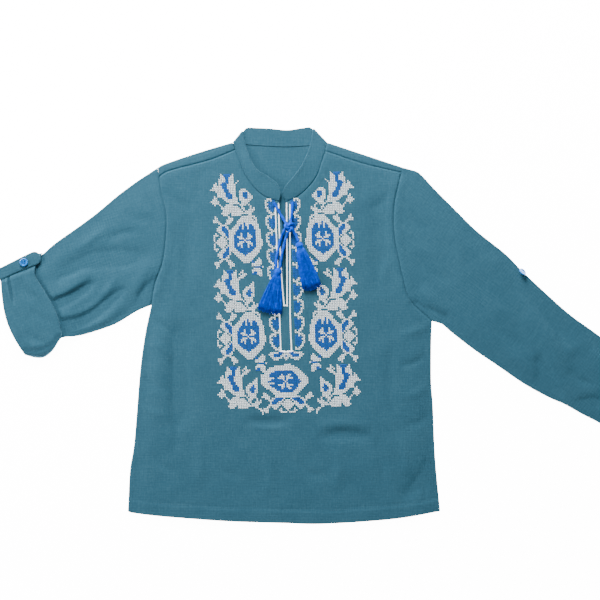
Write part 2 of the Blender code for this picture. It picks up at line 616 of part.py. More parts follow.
def make_tab(look):
    """The roll-up tab: it bends round the cuff's edge and lies on the turns; its tip is round."""
    across = np.array([-TAB_WAY[1], TAB_WAY[0]])
    top_z = 2 * CUFF_RADIUS + GAP
    low_z = 2 * CUFF_RADIUS - CUFF_RISE - GAP
    bend = (top_z - low_z) / 2
    middle = (top_z + low_z) / 2
    half = TAB_WIDTH / 2
    rows = []
    for turn in (-50, 0, 50):
        angle = math.radians(turn)
        rows.append((TAB_REACH, middle, bend, half, angle))
    for s in (0.0, 20 * MM, 40 * MM, TAB_REACH - half):
        rows.append((TAB_REACH - s, top_z + CLOTH, top_z, half))
    for turn in (25, 50, 72):
        angle = math.radians(turn)
        rows.append((half * (1 - math.sin(angle)), top_z + CLOTH, top_z, half * math.cos(angle)))
    columns = np.linspace(-1, 1, 5)[:, None]
    outer, inner = [], []
    for row in rows:
        back, half_width = row[0], row[3]
        centre = TAB_TIP - TAB_WAY * back
        line = centre + across * columns * half_width
        if len(row) == 5:
            _, mid, radius, _, angle = row
            flat, rise = math.cos(angle), math.sin(angle)
            outer.append(stack(line - TAB_WAY * (radius + CLOTH) * flat, mid + (radius + CLOTH) * rise))
            inner.append(stack(line - TAB_WAY * radius * flat, mid + radius * rise))
        else:
            outer.append(stack(line, row[1]))
            inner.append(stack(line, row[2]))
    return wall("roll_tab_left", np.vstack(outer), np.vstack(inner), grid_faces(len(rows), len(columns)), look)


def make_button(name, place, lean, look):
    """A shirt button with a raised rim and four holes; its back lies on the given place."""
    profile = [(0, 1.7), (3.7, 1.7), (4.3, 2.4), (5.2, 2.4), (5.75, 1.7), (5.75, 0.8), (4.8, 0), (0, 0)]
    mesh = bpy.data.meshes.new(name)
    mesh.from_pydata([(x * MM, 0, z * MM) for x, z in profile], [(i, i + 1) for i in range(7)], [])
    made = bpy.data.objects.new(name, mesh)
    mesh.materials.append(look)
    SHIRT.objects.link(made)
    turned = made.modifiers.new("Turned", "SCREW")
    turned.steps = turned.render_steps = 20
    turned.use_merge_vertices = True
    turned.merge_threshold = 0.00001
    cutter_mesh = bpy.data.meshes.new(name + "_holes")
    bm = bmesh.new()
    for k in range(4):
        angle = math.pi / 4 + k * math.pi / 2
        made_hole = bmesh.ops.create_cone(bm, cap_ends=True, segments=6, radius1=0.75 * MM,
                                          radius2=0.75 * MM, depth=6 * MM)
        shift = (1.5 * MM * math.cos(angle), 1.5 * MM * math.sin(angle), 1 * MM)
        bmesh.ops.translate(bm, verts=made_hole["verts"], vec=shift)
    bm.to_mesh(cutter_mesh)
    bm.free()
    cutter = bpy.data.objects.new(name + "_holes", cutter_mesh)
    cutter.display_type = "WIRE"
    cutter.hide_render = True
    CUTTERS.objects.link(cutter)
    cut = made.modifiers.new("Holes", "BOOLEAN")
    cut.operation = "DIFFERENCE"
    cut.object = cutter
    for thing in (made, cutter):
        thing.location = place
        thing.rotation_mode = "QUATERNION"
        thing.rotation_quaternion = Vector(lean).to_track_quat("Z", "Y")
    return made


def make_buttons(look):
    """The left button lies on the tab; the right one sits on the sleeve's upper fold, on its edge."""
    top = 2 * CUFF_RADIUS + GAP + CLOTH + GAP
    make_button("button_left", (*LEFT_BUTTON, top), (0, 0, 1), look)
    edge = smooth_line(RIGHT_SLEEVE_TOP, 60)
    near = np.linalg.norm(edge - RIGHT_BUTTON, axis=1).argmin()
    along = unit(edge[near + 1] - edge[near - 1])
    out = np.array([-along[1], along[0]])
    flat, rise = math.cos(BUTTON_TILT), math.sin(BUTTON_TILT)
    lean = np.array([*(out * flat), rise])
    up_face = np.array([*(-out * rise), flat])
    centre = np.array([*(edge[near] - out * FOLD), FOLD])
    touch = centre + lean * (FOLD + GAP)
    climb = (BUTTON_RADIUS * flat + GAP - touch[2]) / flat
    make_button("button_right", tuple(touch + up_face * climb), tuple(lean), look)


def resting_height(flat, reach):
    """Height on which a thing of this half width rests on the front at each place."""
    ring = [(reach * math.cos(a), reach * math.sin(a)) for a in np.linspace(0, 2 * math.pi, 8, endpoint=False)]
    return np.max([top_of_front(flat + np.array(step)) for step in ring + [(0, 0)]], axis=0) + GAP


def cord_points(route, start_up=0.0, end_up=0.0):
    """Points of a cord that lies on the front; start_up and end_up raise its ends to what they meet."""
    flat = smooth_line(route, max(4, int(len(route) * 2.2)))
    share = np.linspace(0, 1, len(flat))
    height = resting_height(flat, CORD * 0.6) + CORD / 2
    height = height + start_up * (1 - share) ** 3 + end_up * share ** 3
    return stack(flat, height)


def make_cord(name, points, look):
    """A plain tube along the cord's route."""
    curve = bpy.data.curves.new(name, "CURVE")
    curve.dimensions = "3D"
    spline = curve.splines.new("POLY")
    spline.points.add(len(points) - 1)
    for slot, point in zip(spline.points, points):
        slot.co = (*point, 1.0)
    curve.bevel_depth = CORD / 2
    curve.bevel_resolution = 2
    curve.use_fill_caps = True
    curve.materials.append(look)
    made = bpy.data.objects.new(name, curve)
    SHIRT.objects.link(made)
    return made


def primitive(collection):
    """Take the object that a bpy operator has just added into one of our collections."""
    made = bpy.context.object
    for owner in list(made.users_collection):
        owner.objects.unlink(made)
    collection.objects.link(made)
    return made


def apply_scale(thing):
    """Put an object's scale and turn into its mesh."""
    thing.data.transform(thing.matrix_basis)
    thing.matrix_basis.identity()


def unite(thing, others):
    """Boolean union of a piece with others, which then serve as hidden guides."""
    for other in others:
        joined = thing.modifiers.new("Join", "BOOLEAN")
        joined.operation = "UNION"
        joined.object = other
        other.display_type = "WIRE"
        other.hide_render = True


def make_knot(look):
    """The knot of the tie: a flattened ball with two turns of the cord round it."""
    height = float(resting_height(KNOT_PLACE[None], KNOT_RADIUS)[0]) + KNOT_HEIGHT
    place = Vector((*KNOT_PLACE, height))
    bpy.ops.mesh.primitive_uv_sphere_add(segments=14, ring_count=8, radius=1.0)
    ball = primitive(SHIRT)
    ball.name = ball.data.name = "tie_knot"
    ball.scale = (KNOT_RADIUS * 0.86, KNOT_RADIUS * 0.92, KNOT_HEIGHT * 0.86)
    ball.location = place
    apply_scale(ball)
    turns = []
    for tilt, swing in ((68, 35), (72, -40)):
        bpy.ops.mesh.primitive_torus_add(major_segments=18, minor_segments=7, major_radius=KNOT_RING,
                                         minor_radius=KNOT_CORD)
        ring = primitive(CUTTERS)
        ring.scale = (1.0, 0.62, 1.0)
        ring.rotation_euler = (math.radians(tilt), 0, math.radians(swing))
        ring.location = place
        bpy.context.view_layer.update()
        apply_scale(ring)
        turns.append(ring)
    unite(ball, turns)
    ball.data.materials.append(look)
    return height


def make_tassel(name, head_x, head_y, end_x, end_y, spread, look):
    """A tassel: a bound head, and strands that fan out from it and end just above the cloth."""
    head = np.array([head_x, head_y]) * MM
    end = np.array([end_x, end_y]) * MM
    way = unit(end - head)
    side = np.array([-way[1], way[0]])
    length = np.linalg.norm(end - head)
    floor = float(resting_height(head[None], HEAD_RADIUS)[0])
    middle = floor + HEAD_HEIGHT
    bpy.ops.mesh.primitive_uv_sphere_add(segments=14, ring_count=9, radius=1.0)
    ball = primitive(SHIRT)
    ball.name = ball.data.name = name
    ball.scale = (HEAD_LENGTH, HEAD_RADIUS, HEAD_HEIGHT)
    ball.rotation_euler = (0, 0, math.atan2(way[1], way[0]))
    ball.location = (*head, middle)
    bpy.context.view_layer.update()
    apply_scale(ball)
    root_wide = 3.9 * MM
    root_high = 2.7 * MM
    places = [(math.sqrt(1 - w * w) * ((k + 0.5) / count * 2 - 1), w)
              for w, count in STRAND_ROWS.items() for k in range(count)]
    verts, faces = [], []
    for k, (u, w) in enumerate(places):
        reach = length * (1.0 - 0.05 * abs(u) + 0.025 * math.sin(k * 2.4))
        rows = []
        for share in (0.0, 0.4, 1.0):
            along = head + way * (HEAD_LENGTH * 0.55 + (reach - HEAD_LENGTH * 0.55) * share)
            wide = root_wide + (spread * MM - root_wide) * share ** 0.85
            high = root_high * (1 - 0.1 * share)
            thick = (0.30 + 0.35 * share) * MM
            spot = along + side * u * wide
            ground = float(resting_height(spot[None], 1.5 * MM)[0])
            rest = middle + (ground + root_high * 0.9 + thick - middle) * share ** 0.7
            height = rest + w * high
            for corner in range(3):
                turn = corner * 2 * math.pi / 3 + math.pi / 2
                offset = side * thick * math.cos(turn)
                rows.append((*(spot + offset), height + thick * math.sin(turn)))
        base = len(verts)
        verts += rows
        faces.append((base, base + 1, base + 2))
        for level in (0, 3):
            for corner in range(3):
                other = (corner + 1) % 3
                faces.append((base + level + corner, base + level + other, base + level + 3 + other,
                              base + level + 3 + corner))
        faces.append((base + 8, base + 7, base + 6))
    mesh = bpy.data.meshes.new(name + "_strands")
    mesh.from_pydata(verts, [], faces)
    bm = bmesh.new()
    bm.from_mesh(mesh)
    bmesh.ops.recalc_face_normals(bm, faces=bm.faces)
    bm.to_mesh(mesh)
    bm.free()
    strands = bpy.data.objects.new(name + "_strands", mesh)
    CUTTERS.objects.link(strands)
    unite(ball, [strands])
    ball.data.materials.append(look)


def make_tie(look):
    """The neck tie: two cords from the collar seam, their knot, and the ends down to the tassels."""
    knot_z = make_knot(look)
    for row in TASSELS:
        make_tassel(*row, look)
    rest = float(resting_height(KNOT_PLACE[None], CORD)[0]) + CORD / 2
    up = knot_z - rest
    make_cord("tie_cord_left_top", cord_points(LEFT_CORD_TOP, end_up=up), look)
    make_cord("tie_cord_right_top", cord_points(RIGHT_CORD_TOP, end_up=up), look)
    make_cord("tie_cord_left_end", cord_points(LEFT_CORD_END, start_up=up, end_up=TASSEL_RISE), look)
    make_cord("tie_cord_left_return", cord_points(LEFT_CORD_RETURN, start_up=up, end_up=TASSEL_RISE), look)
    make_cord("tie_cord_right_end", cord_points(RIGHT_CORD_END, start_up=up, end_up=TASSEL_RISE), look)


clear_scene()
SHIRT = bpy.data.collections.new("embroidered_shirt")
CUTTERS = bpy.data.collections.new("cutters")
for group in (SHIRT, CUTTERS):
    bpy.context.scene.collection.children.link(group)
linen = material("linen", LINEN, 0.85)
thread = material("blue cord", ROYAL, 0.6)
shell = material("button blue", BUTTON_BLUE, 0.35)
make_back(linen)
make_front(linen)
make_collar(linen)
make_left_sleeve(linen)
make_turns(linen)
make_right_sleeve(linen)
make_tab(linen)
make_buttons(shell)
make_tie(thread)
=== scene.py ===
# %% [markdown]
# # An embroidered linen shirt, laid flat
#
# The real shirt is a boy's vyshyvanka: teal linen, a stand collar with a neck slit, a tie with two
# tassels, one sleeve rolled up under a tab and a broad band of cross-stitch down the front. The
# construction is already solid; here each piece gets its cloth, its creases, its thread and its light.
# Everything is laid out in metres, with +X to the right, +Y to the collar and +Z up from the table.

import math

import bpy
import numpy as np
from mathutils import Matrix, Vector


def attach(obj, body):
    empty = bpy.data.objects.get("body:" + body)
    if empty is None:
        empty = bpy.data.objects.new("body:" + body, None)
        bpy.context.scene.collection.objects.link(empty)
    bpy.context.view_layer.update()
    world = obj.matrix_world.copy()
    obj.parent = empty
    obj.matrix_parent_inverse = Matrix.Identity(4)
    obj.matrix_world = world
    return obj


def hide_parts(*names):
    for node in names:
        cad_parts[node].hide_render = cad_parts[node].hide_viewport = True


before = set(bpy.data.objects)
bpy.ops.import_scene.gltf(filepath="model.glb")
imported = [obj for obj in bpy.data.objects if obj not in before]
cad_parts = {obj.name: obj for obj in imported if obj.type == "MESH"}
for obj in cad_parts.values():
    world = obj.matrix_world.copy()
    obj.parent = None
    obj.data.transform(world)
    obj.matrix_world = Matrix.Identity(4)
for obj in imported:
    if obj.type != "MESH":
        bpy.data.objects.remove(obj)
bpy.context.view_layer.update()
MM = 0.001

# %% [markdown]
# ## The camera
#
# The shirt was photographed from straight above. A long lens far away keeps the layers from leaning
# outwards, which a short lens close by would do, so the outline stays the one of a flat lay. The centre
# of the picture is a little right of the slit, and its width is 0.84 m on the table.

# %% Camera straight above
VIEW_CENTRE = (0.0224, 0.035)
VIEW_WIDTH = 0.84
VIEW_HEIGHT = 2.4
SENSOR = 36.0
lens = bpy.data.cameras.new("overhead")
lens.sensor_width = SENSOR
lens.lens = SENSOR * VIEW_HEIGHT / VIEW_WIDTH
camera = bpy.data.objects.new("overhead", lens)
camera.location = (*VIEW_CENTRE, VIEW_HEIGHT)
bpy.context.scene.collection.objects.link(camera)
bpy.context.scene.camera = camera
print("lens in mm:", round(lens.lens, 1))

# %% [markdown]
# ## Sizes of the pattern pieces
#
# A maker would cut these outlines from linen. They are the same flat outlines that the solids were
# made from, so the cloth made here lies on them. Each is a short list of points for a smooth curve.

# %% Outlines in millimetres, columns x and y
CLOTH = 1.2 * MM
GAP = 0.3 * MM
FOLD = CLOTH + GAP / 2
HEM_DEPTH = 18.5 * MM
HEM = [(-218.5, -260.5), (-210.5, -263), (-166.5, -268), (-77, -274.5), (1.95, -277), (56, -278),
       (151, -271.5), (218.5, -260.5)]
LEFT_SIDE = [(-185.5, 28), (-194, -11), (-201.5, -66), (-209.5, -164), (-215.5, -203), (-218.5, -260.5)]
RIGHT_SIDE = [(207, 5.5), (206, -28), (206, -80), (208.5, -113.5), (211.5, -184), (218.5, -260.5)]
LEFT_SHOULDER = [(-72, 255.5), (-117.5, 242), (-165, 226), (-177, 220)]
RIGHT_SHOULDER = [(60.5, 255.5), (113, 238), (166, 220.5)]
LEFT_SHOULDER_SEAM = [(-68, 245), (-105, 230.5), (-160.5, 215.5), (-174.5, 207)]
RIGHT_SHOULDER_SEAM = [(57, 243.5), (110, 226), (164, 213)]
LEFT_ARMHOLE = [(-174.5, 207), (-172, 188), (-165, 156), (-165, 126), (-170, 87), (-180.5, 57.5),
                (-185.5, 28)]
RIGHT_ARMHOLE = [(164, 213), (154.5, 168), (154.5, 126), (162.5, 84), (173, 42), (186, 24), (207, 5.5)]
LEFT_NECK = [(-68, 245), (-61, 227), (-53, 208), (-39.5, 190.5), (-25, 179.5), (-6.5, 173)]
RIGHT_NECK = [(57, 243.5), (52, 227), (45, 208), (31, 190.5), (18, 180), (2.5, 172.5)]
BACK_NECK = [(-70.6, 254.4), (-60, 253.3), (-45, 252), (-22, 250.5), (3, 249.5), (25, 250.5),
             (45, 252.5), (59.2, 254.3)]
SLIT_LEFT = [(-6.5, 173), (-5.5, 164), (-2, 140), (0, 100), (0.9, 60), (1.95, 28)]
SLIT_RIGHT = [(2.5, 172.5), (2.6, 164), (2.5, 140), (2.5, 100), (2.5, 60), (1.95, 28)]
LEFT_SLEEVE_TOP = [(-177, 220), (-186, 214), (-206, 201), (-233, 181), (-268, 152), (-319, 115),
                   (-341.5, 96.5), (-367.5, 88), (-385.5, 80.5)]
LEFT_SLEEVE_LOW = [(-185.5, 28), (-205, 19.5), (-229.5, 4.5), (-246.5, -3), (-276, -12.5), (-293, -16),
                   (-303, -16.5), (-311, -18.3), (-318, -24.5), (-334, -35), (-350, -39)]
RIGHT_SLEEVE_TOP = [(166, 220.5), (183, 216), (193, 209.5), (213, 188), (242.5, 158.5), (270, 131.5),
                    (310.5, 99), (334.5, 74.5), (378, 34), (405, 11), (442.5, -16), (542, -91)]
RIGHT_SLEEVE_LOW = [(207, 5.5), (218.5, 1.5), (234.5, -12), (264.5, -35), (297, -57), (334.5, -82.5),
                    (369.5, -101.5), (391.5, -111), (416, -124.5), (442.5, -138), (493, -166.5)]
CUFF_TOP = [(-398.5, 76), (-385, 84.5), (-368, 93), (-351, 99.5), (-341, 101.5)]
CUFF_LOW = [(-364, -42.5), (-350, -42.5), (-333, -39.5), (-317, -31), (-309, -21.5)]
CUFF_MOUTH = [(-341, 101.5), (-347.5, 72.5), (-337.5, 53), (-325.5, 33), (-316.5, 14.5), (-310.5, -8.5),
              (-309, -21.5)]
print("outlines: hem width in mm", HEM[-1][0] - HEM[0][0])

# %% [markdown]
# ## Curves on whole arrays
#
# Every outline, seam and cord is a Catmull-Rom curve through its points. The helpers below work on
# whole numpy arrays: one gives a curve at any share of its length, one measures how far each place
# of the cloth is from a seam or a crease, which is what shapes the relief further on.


# %% Curve helpers
def smooth_line(points, shares=40):
    """A Catmull-Rom curve, each stretch a cubic of the four points round it, at shares of its length."""
    p = np.array(points, float) * MM
    ends = np.vstack([2 * p[0] - p[1], p, 2 * p[-1] - p[-2]])
    a, b, c, d = (ends[k:len(p) - 1 + k, None, :] for k in range(4))
    t = np.linspace(0, 1, 12, endpoint=False)[None, :, None]
    runs = 0.5 * (2 * b + (c - a) * t + (2 * a - 5 * b + 4 * c - d) * t**2 + (3 * b - a - 3 * c + d) * t**3)
    dense = np.vstack([runs.reshape(-1, p.shape[1]), p[-1:]])
    return along(dense, shares)


def along(dense, shares):
    """A polyline read at shares of its length, by linear steps between its points."""
    if np.isscalar(shares):
        shares = np.linspace(0, 1, shares)
    run = np.r_[0, np.cumsum(np.linalg.norm(np.diff(dense, axis=0), axis=1))]
    return np.column_stack([np.interp(shares * run[-1], run, column) for column in dense.T])


def length_of(line):
    """The length of a polyline, the sum of its steps."""
    return float(np.linalg.norm(np.diff(line, axis=0), axis=1).sum())


def unit(vectors):
    """Vectors divided by their own length."""
    return vectors / np.maximum(np.linalg.norm(vectors, axis=-1, keepdims=True), 1e-12)


def smoothstep(value):
    """0 below 0, 1 above 1, and t * t * (3 - 2 t) between."""
    t = np.clip(value, 0, 1)
    return t * t * (3 - 2 * t)


def line_distance(points, line):
    """The least distance from each point to the line's stretches, and the share of the line it lies at."""
    away, share = np.empty(len(points)), np.empty(len(points))
    a, step = line[:-1], np.diff(line, axis=0)
    for first in range(0, len(points), 6000):
        rel = points[first:first + 6000, None, :] - a
        t = np.clip((rel * step).sum(axis=2) / (step**2).sum(axis=1), 0, 1)
        gap = np.linalg.norm(rel - t[..., None] * step, axis=2)
        best = gap.argmin(axis=1)
        rows = np.arange(len(best))
        away[first:first + 6000] = gap[rows, best]
        share[first:first + 6000] = (best + t[rows, best]) / len(step)
    return away, share


print("half hem in mm:", round(length_of(smooth_line(HEM)) / 2 / MM, 1))

# %% [markdown]
# ## The lie of the upper layer
#
# The front lies on the back with a little air between them, and keeps the creases that folding and
# ironing left. The relief is a height for every place (x, y): a puff that fades at the folded edges,
# then each crease as a soft trough or ridge along a bent line, and grooves where panels are sewn
# together. The front, both sleeves and all stitches read the same relief, so they meet and lie true.

# %% Creases in millimetres: start, bend, end, half width, height
FOLDS = [
    # name, x1, y1, x2, y2, x3, y3, width, height
    ("sleeve crease at the cuff", -346, 20, -306, 34, -266, 59, 8, -2.2),
    ("ridge beside the cuff crease", -330, 43, -298, 56, -268, 79, 9, 1.7),
    ("long sleeve crease", -346, -5, -279, 7, -221, 52, 9, -2.4),
    ("ridge below the long crease", -306, -9, -262, 0, -222, 32, 8, 1.4),
    ("soft forearm trough", -324, 72, -255, 93, -182, 97, 13, -1.9),
    ("underarm crease left", -205, 34, -192, 48, -176, 70, 7, -1.6),
    ("underarm ridge left", -214, 44, -198, 66, -183, 92, 9, 1.4),
    ("left body trough", -143, 10, -146, -70, -142, -150, 14, -1.8),
    ("left body ridge", -170, 20, -174, -60, -168, -140, 13, 1.5),
    ("waist crease right", 46, -156, 84, -153, 126, -157, 8, -1.4),
    ("waist crease left", -56, -133, -24, -136, 10, -134, 7, -1.3),
    ("hem shade right", 160, -244, 184, -226, 210, -192, 10, -1.5),
    ("underarm fold right", 176, 34, 190, 22, 204, 9, 6, -1.5),
    ("underarm ridge right", 190, 52, 208, 36, 226, 14, 9, 1.6),
    ("right elbow trough", 318, 64, 359, 31, 404, -32, 12, -1.9),
    ("right elbow ridge", 340, 20, 372, -22, 396, -70, 12, 1.5),
    ("right forearm crease", 351, -42, 368, -76, 386, -102, 10, -1.5),
    ("right wrist crease", 404, -112, 432, -106, 466, -118, 7, -1.4),
    ("right chest fold", 128, 180, 134, 110, 140, 40, 13, -1.2),
    ("left chest fold", -140, 186, -132, 120, -142, 50, 13, -1.2),
]
SMALL_CREASES = [
    # name, x1, y1, x2, y2, x3, y3, width, height
    ("pinch at the cuff, upper", -318, 62, -303, 70, -286, 74, 3.5, -0.8),
    ("forearm pucker 1", -262, 40, -246, 50, -232, 70, 4.5, 0.7),
    ("forearm pucker 2", -250, 118, -228, 128, -205, 131, 5, -0.7),
    ("forearm pucker 3", -292, 104, -272, 118, -246, 138, 5, 0.6),
    ("elbow crease left", -246, 92, -232, 84, -214, 83, 4, -0.7),
    ("upper arm crease left 1", -222, 160, -206, 148, -190, 144, 5, -0.6),
    ("upper arm crease left 2", -206, 178, -196, 162, -184, 156, 5, 0.5),
    ("underarm pleat left", -196, 30, -188, 44, -178, 56, 3, -0.9),
    ("underarm pleat left 2", -212, 22, -202, 34, -192, 62, 4, -0.7),
    ("below the left arm", -184, 8, -168, -2, -150, -22, 5, -0.7),
    ("below the left arm 2", -188, -26, -172, -30, -152, -50, 5, 0.6),
    ("left flank 1", -196, -70, -182, -84, -160, -92, 6, -0.5),
    ("left flank 2", -200, -112, -186, -122, -166, -126, 5, 0.5),
    ("left flank 3", -158, -98, -150, -140, -154, -186, 6, -0.6),
    ("left skirt 1", -120, -150, -116, -190, -122, -230, 7, 0.5),
    ("left skirt 2", -188, -176, -172, -196, -150, -206, 5, -0.5),
    ("left skirt 3", -96, -186, -84, -204, -60, -214, 6, -0.45),
    ("skirt centre 1", -30, -168, -18, -196, -22, -236, 7, 0.45),
    ("skirt centre 2", 20, -190, 34, -206, 62, -212, 6, -0.45),
    ("skirt centre 3", 70, -172, 78, -196, 72, -232, 7, 0.5),
    ("waist pucker 1", 48, -140, 84, -138, 122, -142, 7, 0.7),
    ("waist pucker 2", -48, -141, -22, -144, 2, -142, 3.5, 0.5),
    ("right skirt 1", 120, -160, 136, -188, 140, -226, 7, -0.5),
    ("right skirt 2", 158, -150, 170, -176, 172, -214, 6, 0.5),
    ("right skirt 3", 186, -208, 196, -226, 198, -248, 4, -0.6),
    ("right flank 1", 200, -40, 184, -52, 160, -58, 5, -0.6),
    ("right flank 2", 202, -82, 186, -96, 162, -100, 6, 0.5),
    ("right flank 3", 152, -20, 148, -70, 154, -120, 8, -0.6),
    ("right flank 4", 204, -124, 190, -136, 168, -140, 5, -0.45),
    ("underarm pleat right", 182, 34, 192, 24, 200, 12, 3, -0.9),
    ("underarm pleat right 2", 196, 24, 214, 18, 232, 4, 4, -0.7),
    ("below the right arm", 204, 0, 186, -8, 162, -14, 5, 0.6),
    ("right chest 1", 150, 96, 140, 74, 140, 44, 6, 0.5),
    ("right chest 2", 146, 190, 138, 172, 118, 160, 6, -0.45),
    ("left chest 1", -160, 96, -148, 78, -146, 46, 6, 0.5),
    ("left chest 2", -166, 188, -150, 172, -128, 164, 6, -0.45),
    ("left shoulder pull", -110, 222, -118, 204, -120, 176, 6, -0.45),
    ("right shoulder pull", 100, 220, 108, 202, 112, 176, 6, -0.45),
    ("right upper arm 1", 172, 152, 190, 140, 210, 136, 7, -0.45),
    ("right upper arm 2", 176, 114, 198, 102, 226, 98, 8, 0.4),
    ("right upper arm 3", 186, 90, 212, 70, 240, 60, 8, -0.5),
    ("right upper arm 4", 232, 132, 244, 112, 250, 86, 6, 0.5),
    ("right elbow pucker 1", 298, 86, 322, 58, 336, 22, 9, -0.5),
    ("right elbow pucker 2", 276, 44, 304, 18, 326, 2, 9, 0.45),
    ("right elbow pucker 3", 292, -2, 322, -22, 348, -44, 8, -0.5),
    ("right elbow pucker 4", 316, -40, 338, -56, 356, -74, 7, 0.4),
    ("right forearm 1", 372, 10, 392, -14, 404, -46, 5, 0.7),
    ("right forearm 2", 398, -60, 412, -76, 434, -84, 5, -0.6),
    ("right forearm 3", 430, -34, 444, -52, 452, -78, 6, 0.6),
    ("right forearm 4", 466, -62, 476, -84, 480, -112, 6, -0.6),
    ("right forearm 5", 500, -92, 506, -110, 500, -134, 5, 0.5),
    ("core of the cuff crease", -352, 18, -304, 36, -262, 61, 4.5, -1.5),
    ("core of the long crease", -352, -7, -286, 4, -219, 54, 4.5, -1.7),
    ("light ridge over the long crease", -336, 10, -278, 19, -230, 58, 5.5, 0.9),
    ("light ridge over the cuff crease", -336, 35, -300, 48, -272, 68, 5, 0.8),
    ("core of the forearm trough", -290, 79, -250, 90, -198, 93, 8, -0.9),
    ("core of the body trough", -150, 6, -148, -70, -146, -142, 8, -0.7),
    ("core of the elbow trough", 326, 58, 362, 26, 402, -28, 6, -0.9),
    ("core of the forearm crease", 352, -44, 370, -78, 388, -104, 4, -0.9),
]
print("creases:", len(FOLDS) + len(SMALL_CREASES))

# %% Relief of the upper layer
PUFF = 1.5 * MM
PUFF_REACH = 28 * MM
LIFT_MOST = 4.8 * MM
CREASE_DEPTH = 1.35
SMALL_DEPTH = 1.5
CREASE_FADE = 10 * MM
SMALL_FADE = 6 * MM
WAVE_HEIGHT = 0.10 * MM
folded_edges = [smooth_line(line) for line in
                (LEFT_SIDE, RIGHT_SIDE, LEFT_SHOULDER, RIGHT_SHOULDER, LEFT_SLEEVE_TOP, LEFT_SLEEVE_LOW,
                 RIGHT_SLEEVE_TOP, RIGHT_SLEEVE_LOW)]


def crease(points, row):
    """One crease: its height times exp(-(distance / width)^2), fading to nothing at both its ends."""
    _, x1, y1, x2, y2, x3, y3, width, height = row
    away, share = line_distance(points, smooth_line([(x1, y1), (x2, y2), (x3, y3)], 9))
    return height * MM * np.exp(-(away / (width * MM))**2) * np.sin(math.pi * np.clip(share, 0, 1))**0.7


def linen_waves(points):
    """The cloth's own unevenness: a few long, low waves at odd angles and lengths."""
    x, y = points.T / MM
    return WAVE_HEIGHT * (np.sin(0.071 * x + 0.023 * y + 1.3) + np.sin(0.031 * x - 0.083 * y + 0.4)
                          + 0.7 * np.sin(0.143 * x + 0.117 * y) + 0.6 * np.sin(0.093 * x - 0.171 * y + 2.1))


def lift(points, small=True):
    """Height of the upper layer over its lowest place: puff, creases and waves, kept soft by a tanh."""
    edge = np.min([line_distance(points, line)[0] for line in folded_edges], axis=0)
    near_edge = smoothstep((edge - FOLD) / CREASE_FADE)
    rise = PUFF * smoothstep((edge - FOLD) / PUFF_REACH)
    rise = rise + near_edge * CREASE_DEPTH * sum(crease(points, row) for row in FOLDS)
    rise = LIFT_MOST * np.tanh(np.maximum(rise, 0) / LIFT_MOST)
    if small:
        fine = linen_waves(points) + SMALL_DEPTH * sum(crease(points, row) for row in SMALL_CREASES)
        rise = np.maximum(rise + fine * smoothstep((edge - FOLD) / SMALL_FADE), 0)
    return rise


print("relief ready, puff in mm:", PUFF / MM)

# %% [markdown]
# ### Seams pressed into the relief
#
# Where two panels are sewn, the cloth dips into the stitching and the seam allowance behind it makes a
# low, wide band. Both are read from the distance to the seam line, so one short function serves the
# shoulder seams, both armholes and the neck.

# %% Seam grooves and allowances
SEAM_DIP = 0.75 * MM
SEAM_DIP_WIDTH = 1.3 * MM
ALLOWANCE = 0.35 * MM
ALLOWANCE_WIDTH = 9 * MM
ALLOWANCE_START = 2 * MM
ALLOWANCE_END = 2.5 * MM
HEM_STEP = 0.45 * MM
HEM_STEP_PLACE = 1.2 * MM
HEM_STEP_WIDTH = 1.8 * MM
HEM_DIP = 0.35 * MM
HEM_DIP_WIDTH = 1.1 * MM
seam_lines = [smooth_line(line) for line in
              (LEFT_SHOULDER_SEAM, RIGHT_SHOULDER_SEAM, LEFT_ARMHOLE, RIGHT_ARMHOLE, LEFT_NECK, RIGHT_NECK)]
hem_line = smooth_line(HEM, 60)


def seam_relief(points):
    """A groove exp(-(d / width)^2) at each seam, beside a low plateau as wide as the allowance."""
    away = np.min([line_distance(points, line)[0] for line in seam_lines], axis=0)
    band = smoothstep(away / ALLOWANCE_START) * (1 - smoothstep((away - ALLOWANCE_WIDTH) / ALLOWANCE_END))
    return ALLOWANCE * band - SEAM_DIP * np.exp(-(away / SEAM_DIP_WIDTH)**2)


def hem_relief(points):
    """The turned-up hem: a step up below the stitch line, with a groove on the line itself."""
    above = points[:, 1] - np.interp(points[:, 0], hem_line[:, 0], hem_line[:, 1]) - HEM_DEPTH
    step = HEM_STEP * (1 - smoothstep((above + HEM_STEP_PLACE) / HEM_STEP_WIDTH))
    return step - HEM_DIP * np.exp(-(above / HEM_DIP_WIDTH)**2)


def top_of_cloth(points):
    """Height of the visible face of the front at each place."""
    points = np.atleast_2d(points)
    return CLOTH + GAP + lift(points) + CLOTH + seam_relief(points) + hem_relief(points)


chest = np.array([[80, 100]]) * MM
print("cloth height at the chest in mm:", round(float(top_of_cloth(chest)[0]) / MM, 2))

# %% [markdown]
# ## Meshes from grids
#
# A piece of cloth is worked out as grids of points, rows by columns. The helper below puts one or more
# grids into a mesh, joins the points they share, and stores where each point lies along the weave as
# its UV, in metres, so the threads run true even where the cloth turns. Solidify then gives the cloth
# its thickness on the inside, and closes its edges.


# %% Grid meshes, in one object
LINEN_WALL = 0.9 * MM
SAME_PLACE = 0.002 * MM


def grid_quads(rows, columns, closed, start):
    """The quads of a grid as index numbers; a closed grid joins its last column to its first."""
    across = np.arange(columns if closed else columns - 1)
    i, j = (m.ravel() for m in np.meshgrid(np.arange(rows - 1), across, indexing="ij"))
    k = (j + 1) % columns
    return start + np.column_stack([i * columns + j, i * columns + k, (i + 1) * columns + k,
                                    (i + 1) * columns + j])


